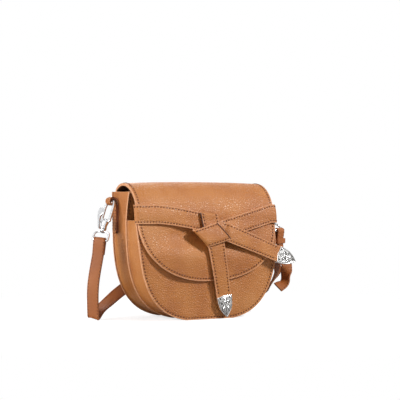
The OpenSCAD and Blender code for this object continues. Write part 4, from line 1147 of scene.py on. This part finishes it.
def tip_half(down):
    """Half width of the shield at a length from its mouth."""
    at = np.array([0, 0.06, 0.3, 0.5, 0.68, 0.84, 0.96]) * TIP_L
    wide = np.array([0.94, 1, 0.95, 0.86, 0.66, 0.36, 0.08]) * TIP_W / 2
    fine = np.linspace(0, at[-1], 60)
    rough = np.interp(fine, at, wide)
    eased = np.convolve(np.r_[[rough[0]] * 3, rough, [rough[-1]] * 3], np.ones(7) / 7, "valid")
    eased[-1] = rough[-1]
    return np.interp(down, fine, eased)


def tip_rise(x, z, far):
    """Height of the shield's face: a raised rim round a ground with the scroll sunk in."""
    rim = 0.6 * np.clip(1.0 - (far - 0.95) / 0.4, 0, 1)
    rise = np.maximum(rim, 0.5 * np.clip((far - 1.5) / 0.35, 0, 1))
    for line, width in ornament_lines():
        near = rim_distance(x, z, spaced(line, 0.25) if len(line) > 8 else line)
        rise = np.minimum(rise, np.where(
            far > 1.5, 0.5 * np.clip((near - 0.5 * width) / 0.3, 0, 1), 1))
    return rise


def add_tip(name, length, place, body):
    """A cast shield with a plain back, its sunk lines dark, and its two rivets."""
    rows, cols = 92, 71
    u = np.linspace(-1, 1, cols)
    reach = 0.985 * TIP_L
    down = np.repeat((np.linspace(0, 1, rows) * reach)[:, None], cols, 1)
    point = np.sqrt(np.clip((TIP_L - down) / (0.1 * TIP_L), 0.02, 1))
    half = tip_half(np.minimum(down, 0.96 * TIP_L)) * np.where(down > 0.9 * TIP_L, point, 1)
    x = u[None] * half
    brow = 0.9 * np.cos(x / TIP_W * 2 * math.pi * 1.15) * np.clip(1 - down / 5, 0, 1)
    z = -down + brow * 0.8 - 0.4
    flat = np.stack([x, z], -1)
    far = rim_distance(x, z, np.concatenate([flat[:, 0], flat[:, -1], flat[0]]))
    rise = tip_rise(x, z, far)
    dome = 0.7 * np.clip(1 - u[None] ** 2, 0, 1) * np.clip(far / 2, 0, 1)
    edge = 0.5 * np.clip(1 - far / 0.45, 0, 1) ** 2
    front = BELT_T / 2 - TIP_T / 2 + 0.35 - rise * 0.85 - dome * 0.6 + edge
    back = BELT_T / 2 + TIP_T / 2 - edge
    verts = [np.stack([x, y, z - length], -1).reshape(-1, 3) for y in (front, back)]
    n, loop, outer = rows * cols, grid_rim(rows, cols), quads(rows, cols)[:, ::-1]
    after = np.roll(loop, -1)
    faces = [outer, quads(rows, cols, n), np.stack([loop, after, after + n, loop + n], -1)]
    slots = np.r_[rise.reshape(-1)[outer].mean(1) < 0.17, np.zeros(len(faces[1]) + len(faces[2]))]
    piece = add_mesh(name + "_shield", place(np.concatenate(verts)), np.concatenate(faces),
                     [cast_nickel, oxidised], slots, 55)
    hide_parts(name)
    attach(piece, body)
    head, head_faces = lathe([(0, 0.8), (0.6, 0.74), (1.0, 0.45), (1.15, 0.0), (1.15, -4.9),
                              (0, -4.9)], 16)
    head = turned(head, ("X", 90)) + [0, BELT_T / 2 - TIP_T / 2 - 0.15, -length - 0.12 * TIP_L]
    verts, faces = join([(place(head + [side * 0.31 * TIP_W, 0, 0]), head_faces)
                         for side in (-1, 1)])
    rivets = add_mesh(name + "_rivets", verts, faces, [oxidised])
    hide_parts(name + "_pins")
    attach(rivets, body)


add_tip("drop_tip", DROP_L, on_drop, "drop_tail")
add_tip("side_tip", SIDE_L, on_side, "side_tail")


# Clasps
HOOK_IN, NOSE_T, HOOK_T, SLOT_L, BASE_L, EYE_WIRE = 9.2, 3.0, 3.2, 20.5, 12.5, 2.6
EYE_BORE, EYE_WALL, EYE_L = 6.4, 2.2, 7.0
nose_r = (HOOK_IN + NOSE_T) / 2
eye_r = EYE_BORE / 2 + EYE_WALL
gusset_x = BAG_W / 2 - SEAM_LIP
tab_y = 0.74 * BACK_FACE
eye_x = gusset_x + 1.5 * eye_r
bow = nose_r - math.sqrt(nose_r ** 2 - EYE_L ** 2 / 4)
boss_z = -SLOT_L - BASE_L
bar_z = boss_z - 1.15 * BASE_L
LEVER = np.array([[-0.315, -0.27], [-0.55, -0.09], [-0.66, -0.12], [-0.745, -0.25], [-0.755, -0.44],
                  [-0.69, -0.74], [-0.45, -1.38], [-0.34, -1.52], [-0.31, -1.45], [-0.42, -1.1],
                  [-0.475, -0.88], [-0.46, -0.66], [-0.315, -0.53]]) * SLOT_L
# Each clasp's heading, lean and tilt, and how far its swivel is turned
POSES = {-1: (-68.0, -28.3, -5.2, 20.0), 1: (248.0, 37.0, -26.2, 148.3)}
SIDE_NAME = {-1: "left", 1: "right"}


def clasp_turn(side, v):
    """A direction in the clasp's own axes as one in the bag's."""
    heading, lean, tilt, _ = POSES[side]
    return turned(v, ("Y", tilt), ("X", lean), ("Z", heading))


def on_clasp(side, points):
    """Points in the clasp's own axes set where it hangs in its tab."""
    hung = clasp_turn(side, np.asarray(points, float) + [0, 0, bow / 2 - nose_r])
    return hung + [side * eye_x, tab_y, TAB_H]


def on_swivel(side, points):
    """Points in the swivel's own axes set where it hangs in its hook."""
    return on_clasp(side, turned(points, ("Z", POSES[side][3])))


def arc(cx, cz, r, a0, a1, n):
    """Part of a circle from one angle to another, as X and Z."""
    a = np.radians(np.linspace(a0, a1, n))
    return np.stack([cx + r * np.cos(a), cz + r * np.sin(a)], 1)


def rounded_box(half, high, low, high_r, low_r, high_n=6, low_n=6, step=0.9):
    """A closed upright box with rounded corners, as X and Z."""
    return closed_line(np.vstack([arc(half - high_r, high - high_r, high_r, 90, 0, high_n),
                                  arc(half - low_r, low + low_r, low_r, 0, -90, low_n),
                                  arc(low_r - half, low + low_r, low_r, -90, -180, low_n),
                                  arc(high_r - half, high - high_r, high_r, 180, 90, high_n)]),
                       step)


def hook_outline():
    """The hook's nose, arc, arm and cross piece as one closed line."""
    out_r, in_r, arm = nose_r + NOSE_T / 2, HOOK_IN / 2, 1.15 * NOSE_T
    base = -SLOT_L - NOSE_T
    return closed_line(np.vstack([
        [[-out_r + 0.2, -2.0]], arc(0, 0, out_r, 180, 20, 26),
        [[in_r + arm - 0.1, -3.5], [in_r + arm, -8]],
        [[in_r + arm, base + 4]], arc(in_r + arm - 2.5, base + 2.2, 2.5, 0, -90, 6),
        arc(-out_r + 2.0, base + 2.0, 2.2, -90, -180, 6),
        arc(-nose_r, -SLOT_L + 1.5, 2.05, 190, 20, 12),
        [[-2.6, -SLOT_L + 0.1], [in_r - 1.6, -SLOT_L]],
        arc(in_r - 1.5, -SLOT_L + 1.5, 1.5, -90, 0, 5),
        [[in_r, -12], [in_r, -5]], arc(0, 0, in_r, 0, 180, 22),
        [[-in_r, -2.0], [-in_r - 0.9, -2.5]]]), 0.55)


def add_hook(side):
    """The cast hook with the barrel that holds the swivel's head."""
    name = SIDE_NAME[side]
    hook = rounded_plate(relaxed(hook_outline(), 1), HOOK_T, 1.15, 4)
    barrel = lathe([(0, -SLOT_L - 1.2), (3.0, -SLOT_L - 1.3), (4.3, -SLOT_L - 2.2),
                    (4.5, -SLOT_L - 3.4), (4.0, -SLOT_L - 5.2), (3.68, -SLOT_L - 6.4),
                    (3.68, boss_z + 2.6), (3.95, boss_z + 2.3),
                    (3.95, boss_z + 0.6), (3.6, boss_z + 0.1), (2.0, boss_z), (1.7, boss_z + 1),
                    (0, boss_z + 1)])
    verts, faces = join([hook, barrel])
    piece = add_mesh(name + "_hook_cast", on_clasp(side, verts), faces, [nickel], sharp=38)
    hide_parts(name + "_hook")
    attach(piece, "bag")


def add_gate(side):
    """The sprung gate: its thumb lever, the blade that closes the nose, and its pin."""
    name = SIDE_NAME[side]
    lever = smooth([*LEVER, LEVER[0]], 5)[:-1]
    left, right, low, high = -nose_r - 1.1, -nose_r + 1.1, -SLOT_L + 1.5, -2.0 - 0.21
    blade = closed_line([[left, low], [left, high], [right, high], [right, low]], 0.6)
    pin, pin_faces = lathe([(0, 1.75), (0.8, 1.7), (0.95, 1.5), (0.95, -1.5), (0.8, -1.7),
                            (0, -1.75)], 18)
    pin = turned(pin, ("X", 90)) + [-nose_r, 0, low]
    plates = [rounded_plate(lever, 2.9, 0.8), rounded_plate(blade, 1.98, 0.4, 2)]
    verts, faces = join([*plates, (pin, pin_faces)])
    piece = add_mesh(name + "_gate_lever", on_clasp(side, verts), faces, [nickel], sharp=38)
    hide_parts(name + "_gate")
    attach(piece, name + "_gate")


def add_swivel(side):
    """The swivel eye: a wire ring for the strap under a boss, with its post up in the hook."""
    name = SIDE_NAME[side]
    top = boss_z - 0.14
    shoulder = top - 0.26 * BASE_L
    bend = 0.5 * (shoulder - bar_z)
    half = (STRAP_W + 1.5) / 2 + EYE_WIRE / 2
    ring = rounded_box(half, shoulder + EYE_WIRE / 4, bar_z, bend, 1.4, 12, 5)
    ring = np.stack([ring[:, 0], np.zeros(len(ring)), ring[:, 1]], 1)
    wire = tube(ring, EYE_WIRE, across=np.array([0, 1.0, 0]), sides=14, closed=True)
    boss = lathe([(0, top), (3.2, top), (3.65, top - 0.4), (3.65, top - 2.4), (3.1, top - 3.4),
                  (1.6, top - 4.2), (0, top - 4.4)])
    post = lathe([(0, -SLOT_L + 0.14 + 1.3), (2.2, -SLOT_L + 1.3), (2.5, -SLOT_L + 0.7),
                  (2.5, -SLOT_L + 0.2), (1.6, -SLOT_L + 0.1), (1.6, top), (0, top)], 20)
    verts, faces = join([wire, boss, post])
    piece = add_mesh(name + "_swivel_ring", on_swivel(side, verts), faces, [nickel], sharp=45)
    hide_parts(name + "_swivel_eye")
    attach(piece, name + "_swivel")


for side in (-1, 1):
    add_hook(side)
    add_gate(side)
    add_swivel(side)


# Tabs
def eye_axis(side):
    """The direction of the leather eye's bore, square to the clasp's hook."""
    heading, lean, tilt, _ = POSES[side]
    return turned([0, 0, 1.0], ("Y", tilt + 90), ("X", lean), ("Z", heading))


def add_tab(side):
    """A strip folded round the hook's nose, its two ends sewn together down the gusset."""
    name = SIDE_NAME[side]
    cx = eye_x - gusset_x
    down = TAB_L + TAB_W / 2
    line = np.vstack([[[1.1, -down], [1.1, -24], [1.1, -12], [1.3, -3], [2.2, 2.2]],
                      arc(cx, 0, EYE_BORE / 2 + 1.0, 140, -150, 22),
                      [[3.9, -5.4], [3.3, -9], [3.25, -14], [3.25, -24], [3.25, -down]]])
    line = spaced(relaxed(spaced(line, 0.8), 4), 0.9)
    depth = line[:, 1] + down
    near = np.exp(-((line[:, 0] - cx) ** 2 + line[:, 1] ** 2) / 45)
    width = 1.3 * TAB_W * np.sqrt(np.clip(1 - np.clip(1 - depth / (TAB_W / 2), 0, 1) ** 2, 0.02, 1))
    width = width * (1 - near) + EYE_L * near
    points = np.stack([side * (gusset_x + line[:, 0]), np.full(len(line), tab_y),
                       TAB_H + line[:, 1]], 1)
    axis = eye_axis(side)
    if axis[1] < 0:
        axis = -axis
    across = unit((1 - near)[:, None] * np.array([0, 1.0, 0]) + near[:, None] * axis)
    share = np.linspace(-0.5, 0.5, 9)
    grid = points[:, None] + across[:, None] * (share[None, :, None] * width[:, None, None])
    half = len(line) // 2
    from_eye = grid[half, 4] - [side * eye_x, tab_y, TAB_H]
    flip = np.sum(normals_of(grid)[half, 4] * from_eye) < 0
    bulge = 0.35 * (1 - (2 * np.abs(share)) ** 3)
    grid = grid + normals_of(grid, flip) * (0.9 + bulge[None, :, None])
    piece = leather_sheet(name + "_tab_leather", grid, 1.9, [calf, tab_edge, calf], flip=flip,
                          bulge=0.15)
    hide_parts(name + "_tab")
    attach(piece, "bag")
    outer = (np.arange(len(line)) > half) & (line[:, 1] < -9) & (line[:, 1] > -down + 3)
    normal = np.tile([float(side), 0.0, 0.0], (outer.sum(), 1))
    rows = [(grid[outer][:, edge], normal, 3.4, 2.3, 0.9) for edge in (1, -2)]
    add_stitches(name + "_tab_stitches", rows, "bag")


add_tab(-1)
add_tab(1)


# Shoulder strap and buckle
def bar_centre(side):
    """Middle of the bar that the strap's end folds round."""
    return on_clasp(side, [[0, 0, bar_z]])[0]


def bar_dir(side):
    """The way that bar runs."""
    a = math.radians(POSES[side][3])
    return clasp_turn(side, [[math.cos(a), math.sin(a), 0]])[0]


def down_dir(side):
    """The way the folded end hangs from its bar."""
    fall = np.array([-0.12, 0.03, -1]) if side < 0 else np.array([-0.04, 0, -1])
    return unit(np.cross(bar_dir(side), unit(np.cross(fall, bar_dir(side)))))


def out_dir(side):
    """The way the folded end's outer ply faces."""
    return unit(np.cross(down_dir(side), bar_dir(side)))


PLY = STRAP_T / 2 + LAYER_GAP / 4
wrap_r = EYE_WIRE / 2 + LAYER_GAP + STRAP_T / 2
BUCKLE_WIRE, BUCKLE_H = 2.4, 11.0
stow_r, stow_run, stow_turns = 11.0, 66.0, 2
rear_gap = BACK_FACE + MOUTH_FLARE + flap_out
stow_y, stow_x = rear_gap + 0.17 * BAG_W, 0.19 * BAG_W
swivel_gap, left_gap = 1.6, 0.95
left_top = bar_centre(-1) + down_dir(-1) * (FOLD_L + left_gap) + out_dir(-1) * PLY
left_foot = np.array([left_top[0] - 0.025 * BAG_W, left_top[1] + 0.02 * BAG_W, 1.6 * STRAP_T])
right_side = unit([bar_dir(1)[0], bar_dir(1)[1], 0])
front_dir = np.array([right_side[1], -right_side[0], 0])
buckle_top = bar_centre(1) + down_dir(1) * (FOLD_L + swivel_gap) - [0, 0, 0.5 * STRAP_W]
bar_low = buckle_top - [0, 0, BUCKLE_H + BUCKLE_WIRE]


def stow_point(a):
    """A point of the stowed turns, by its angle from the first."""
    r = stow_r + (STRAP_T + 1.4) * a / 360
    side = min(1.0, max(-1.0, 2.2 * math.sin(math.radians(a))))
    return np.array([stow_x + side * stow_run / 2 + r * math.sin(math.radians(a)),
                     stow_y + r * math.cos(math.radians(a)), STRAP_W / 2 + 0.25])


def wrapped(centre, radius, first, second, degrees):
    """Points round a bar, from one direction towards another."""
    a = np.radians(degrees)[:, None]
    return centre + radius * (first * np.cos(a) + second * np.sin(a))


def end_arc(side):
    """The strap's end folded round its bar, from the free end over the bar to the outer ply."""
    c, d, n = bar_centre(side), down_dir(side), out_dir(side)
    down = [c + d * FOLD_L * k for k in (1.0, 0.8, 0.62)]
    return np.vstack([[p - n * PLY for p in down],
                      wrapped(c, wrap_r, n, -d, np.arange(180, -1, -15)),
                      [p + n * PLY for p in down[::-1]]])


def long_strap_route():
    """Route and across directions of the long strap, from its folded end to its loose tail."""
    b = bar_dir(-1)
    fold = end_arc(-1)
    foot_side = unit(b + [0, 0, -0.12])
    hang = smooth([left_top, left_top * 0.5 + left_foot * 0.5 + [-0.017 * BAG_W, 0, 0],
                   left_foot], 12)
    sole = np.array([left_foot + [-0.05, 0, -0.4], left_foot + [0.5, 0.3, -1.8]])
    route = [fold, hang[:-1], sole]
    sides = [np.tile(b, (len(fold), 1)), smooth([b, b, foot_side], 12)[:-1],
             np.array([foot_side, foot_side])]
    # Up behind the bag and into the stowed turns
    inner = stow_point(0)
    before = unit(inner - stow_point(20))
    mid = np.array([[-0.621, -0.095, 0.063], [-0.532, -0.042, 0.11], [-0.421, 0.013, 0.168],
                    [-0.289, 0.079, 0.216], [-0.158, 0.147, 0.2]]) * BAG_W + [0, rear_gap, 0]
    left_x = stow_x - stow_run / 2
    over = [left_x - 1.1 * stow_r, stow_y + 0.55 * stow_r, 1.6 * STRAP_W]
    inside = [left_x + 0.5 * stow_r, stow_y + 0.9 * stow_r, 1.15 * STRAP_W]
    route.append(smooth([left_foot + [2.6, 1.5, 0.2], *mid, over, inside,
                         inner + before * 0.4], 10))
    sides.append(smooth([unit(b + [0, 0, -0.2]), [0.6, -0.78, -0.2], [0.52, -0.7, -0.45],
                         [0.4, -0.6, -0.68], [0.3, -0.5, -0.8], [0.15, -0.4, -0.9],
                         [0.05, -0.2, -0.97], [0.02, -0.1, -0.99], [0, 0, -1]], 10))
    coil = np.array([stow_point(a) for a in range(8, 360 * stow_turns + 41, 8)])
    route.append(coil)
    sides.append(np.tile(-UP, (len(coil), 1)))
    # Out of the turns, along the floor and up to the buckle
    ahead = unit(coil[-1] - stow_point(360 * stow_turns + 20))
    mid = np.array([[0.526, 0.185, 0.066], [0.61, 0.064, 0.105], [0.647, -0.062, 0.153],
                    [0.646, -0.1255, 0.195], [0.645, -0.173, 0.234], [0.639, -0.21, 0.276]])
    mid = mid * BAG_W + [0, rear_gap, 0]
    low_wrap = 0.75 * BUCKLE_WIRE + LAYER_GAP + STRAP_T / 2
    tail_foot = bar_low - front_dir * low_wrap - UP * 0.25 * STRAP_W
    route.append(smooth([coil[-1] + ahead * 0.7, *mid, tail_foot], 10)[1:])
    sides.append(-smooth([[0, 0, 1], [0.1, 0.1, 0.97], [0.3, 0.1, 0.9], [0.5, 0.15, 0.8],
                          [0.65, 0.25, 0.6], [0.8, 0.35, 0.35], [0.86, 0.42, 0.12],
                          right_side], 10)[1:])
    # Over the buckle's low bar and down as the loose tail
    turn = wrapped(bar_low, low_wrap, -front_dir, UP, np.arange(0, 161, 20))
    route.append(turn[:-1])
    sides.append(np.tile(-right_side, (len(turn) - 1, 1)))
    curl = np.array([[0.02, -0.03, -0.01], [0.022, -0.03, -0.047], [0.02, -0.027, -0.079],
                     [0.014, -0.032, -0.112], [-0.004, -0.043, -0.136], [-0.034, -0.053, -0.152],
                     [-0.066, -0.058, -0.165]]) * BAG_W + bar_low + front_dir * low_wrap
    route.append(smooth([turn[-1], *curl], 8))
    sides.append(-smooth([right_side, [0.8, 0.1, 0.5], [0.6, -0.3, 0.65], [0.35, -0.7, 0.45],
                          [0.2, -0.85, 0.1], [0.12, -0.85, -0.3], [0.05, -0.75, -0.6],
                          [0.02, -0.66, -0.72]], 8))
    return np.concatenate(route), unit(np.concatenate(sides))


# The strap's section, in shares of its width and thickness
STRAP_ROUND = np.array([[-0.5, 0.0], [-0.49, 0.3], [-0.455, 0.5], [-0.41, 0.46],
                        [-0.36, 0.5], [-0.2, 0.55], [0, 0.57], [0.2, 0.55], [0.36, 0.5],
                        [0.41, 0.46], [0.455, 0.5], [0.49, 0.3]])
STRAP_ROUND = np.vstack([STRAP_ROUND, -STRAP_ROUND])


def strap_mesh(name, route, sides):
    """A flat strap with rounded, painted edges and a shallow stitch groove on both faces."""
    along = unit(np.gradient(route, axis=0))
    across = unit(sides - along * np.sum(sides * along, -1, keepdims=True))
    up = np.cross(along, across)
    rings = (route[:, None] + across[:, None] * (STRAP_ROUND[None, :, :1] * STRAP_W)
             + up[:, None] * (STRAP_ROUND[None, :, 1:] * STRAP_T))
    count, n = len(STRAP_ROUND), len(route)
    faces = [*quads(n, count, closed=True), list(range(count))[::-1],
             list(range((n - 1) * count, n * count))]
    painted = np.isin(np.tile(np.arange(count), n - 1), [0, 11, 12, 23])
    piece = add_mesh(name, rings.reshape(-1, 3), faces, STRAP_SET,
                     np.r_[painted.astype(int), 1, 1], 50)
    return piece, across, up


def strap_stitch_rows(route, across, up):
    """Two rows of stitches on each face of a strap."""
    return [(route + across * edge * 0.41 * STRAP_W + up * face * 0.46 * STRAP_T, up * face,
             3.9, 2.6, 0.85)
            for face in (1, -1) for edge in (-1, 1)]


def add_strap(name, route, sides, nodes):
    """A strap and its stitches, between the bag and the swivel that holds its end."""
    piece, across, up = strap_mesh(name, route, sides)
    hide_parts(*nodes)
    verts, faces = join([stitch_parts(*row) for row in strap_stitch_rows(route, across, up)])
    stitches = add_mesh(name.replace("_leather", "") + "_stitches", verts, faces, [thread],
                        sharp=60)
    for obj in (piece, stitches):
        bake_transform(obj)


def add_long_strap():
    """About a metre of strap: left clasp, floor, stowed turns, buckle and loose tail."""
    route, sides = long_strap_route()
    lengths = run_lengths(route)
    keep = [0]
    for k in range(1, len(route)):
        if lengths[k] - lengths[keep[-1]] > 0.9:
            keep.append(k)
    add_strap("long_strap", relaxed(route[keep], 2), unit(relaxed(sides[keep], 4)),
              ("left_strap_end", "left_strap_run", "rear_strap_run", "stowed_strap",
               "right_strap_run", "strap_tail"))


def add_buckle_strap():
    """The short strap between the right clasp and the buckle, folded back at both."""
    wrap = BUCKLE_WIRE / 2 + LAYER_GAP + STRAP_T / 2
    high = buckle_top + UP * 2.6 * wrap
    start = bar_centre(1) + down_dir(1) * (FOLD_L + swivel_gap)
    upper = end_arc(1)
    lower = np.vstack([start + front_dir * PLY, high + front_dir * PLY,
                       wrapped(buckle_top, wrap, front_dir, -UP, np.arange(0, 181, 20)),
                       high - front_dir * PLY, start - front_dir * PLY])
    line = np.vstack([upper, lower])
    sides = np.vstack([np.tile(bar_dir(1), (len(upper), 1)), np.tile(right_side, (len(lower), 1))])
    apart = np.r_[True, np.linalg.norm(np.diff(line, axis=0), axis=1) > 0.3]
    line, sides = line[apart], sides[apart]
    lengths = run_lengths(line)
    at = np.linspace(0, lengths[-1], int(lengths[-1] / 1.1))
    line, sides = relaxed(sampled(line, lengths, at), 1), unit(sampled(sides, lengths, at))
    add_strap("buckle_strap_leather", line, sides, ("right_strap_end", "buckle_strap"))


def add_keeper():
    """A leather loop that holds the folded end together."""
    c = bar_centre(1) + down_dir(1) * 0.75 * FOLD_L
    half_x, half_y = (STRAP_W + 1.4) / 2 + 0.75, (2 * STRAP_T + 2.1) / 2 + 0.75
    loop = rounded_box(half_x, half_y, -half_y, 1.8, 1.8, step=1.0)
    path = c + loop[:, :1] * bar_dir(1) + loop[:, 1:] * out_dir(1)
    verts, faces = tube(path, 6.5, 1.45, across=down_dir(1), sides=16, power=5, closed=True)
    piece = add_mesh("keeper_loop", verts, faces, [smooth_calf], sharp=50)
    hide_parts("strap_keeper")
    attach(piece, "keeper")


def on_buckle(points):
    """Points in the buckle's own axes set where it hangs."""
    points = np.asarray(points, float)
    return buckle_top + points[:, :1] * right_side - points[:, 1:2] * front_dir + points[:, 2:] * UP


def add_buckle():
    """The wire frame and the prong that turns on its top bar."""
    half, low = (STRAP_W + 1 + BUCKLE_WIRE) / 2, -(BUCKLE_H + BUCKLE_WIRE)
    loop = rounded_box(half, 0, low, 1.6, 1.6)
    path = on_buckle(np.stack([loop[:, 0], np.zeros(len(loop)), loop[:, 1]], 1))
    verts, faces = tube(path, BUCKLE_WIRE, across=front_dir, sides=14, closed=True)
    piece = add_mesh("buckle_ring", verts, faces, [nickel], sharp=45)
    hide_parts("buckle_frame")
    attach(piece, "bag")
    reach, r = -(BUCKLE_H + 1.4 * BUCKLE_WIRE), BUCKLE_WIRE / 2 + 0.92
    line = [[0, y, z] for y, z in arc(0, 0, r, -60, -180, 12)]
    line += [[0, -r, -3], [0, -r, -8], [0, -r - 0.05, reach * 0.85], [0, -r, reach]]
    verts, faces = tube(on_buckle(smooth(line, 3)), 1.6, across=right_side)
    piece = add_mesh("buckle_prong", verts, faces, [nickel], sharp=45)
    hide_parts("buckle_tongue")
    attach(piece, "tongue")


add_long_strap()
add_buckle_strap()
add_keeper()
add_buckle()

# The hidden magnets keep their own solids
for name in ("flap_magnet", "pocket_magnet"):
    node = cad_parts[name]
    node.data.materials.clear()
    node.data.materials.append(nickel)

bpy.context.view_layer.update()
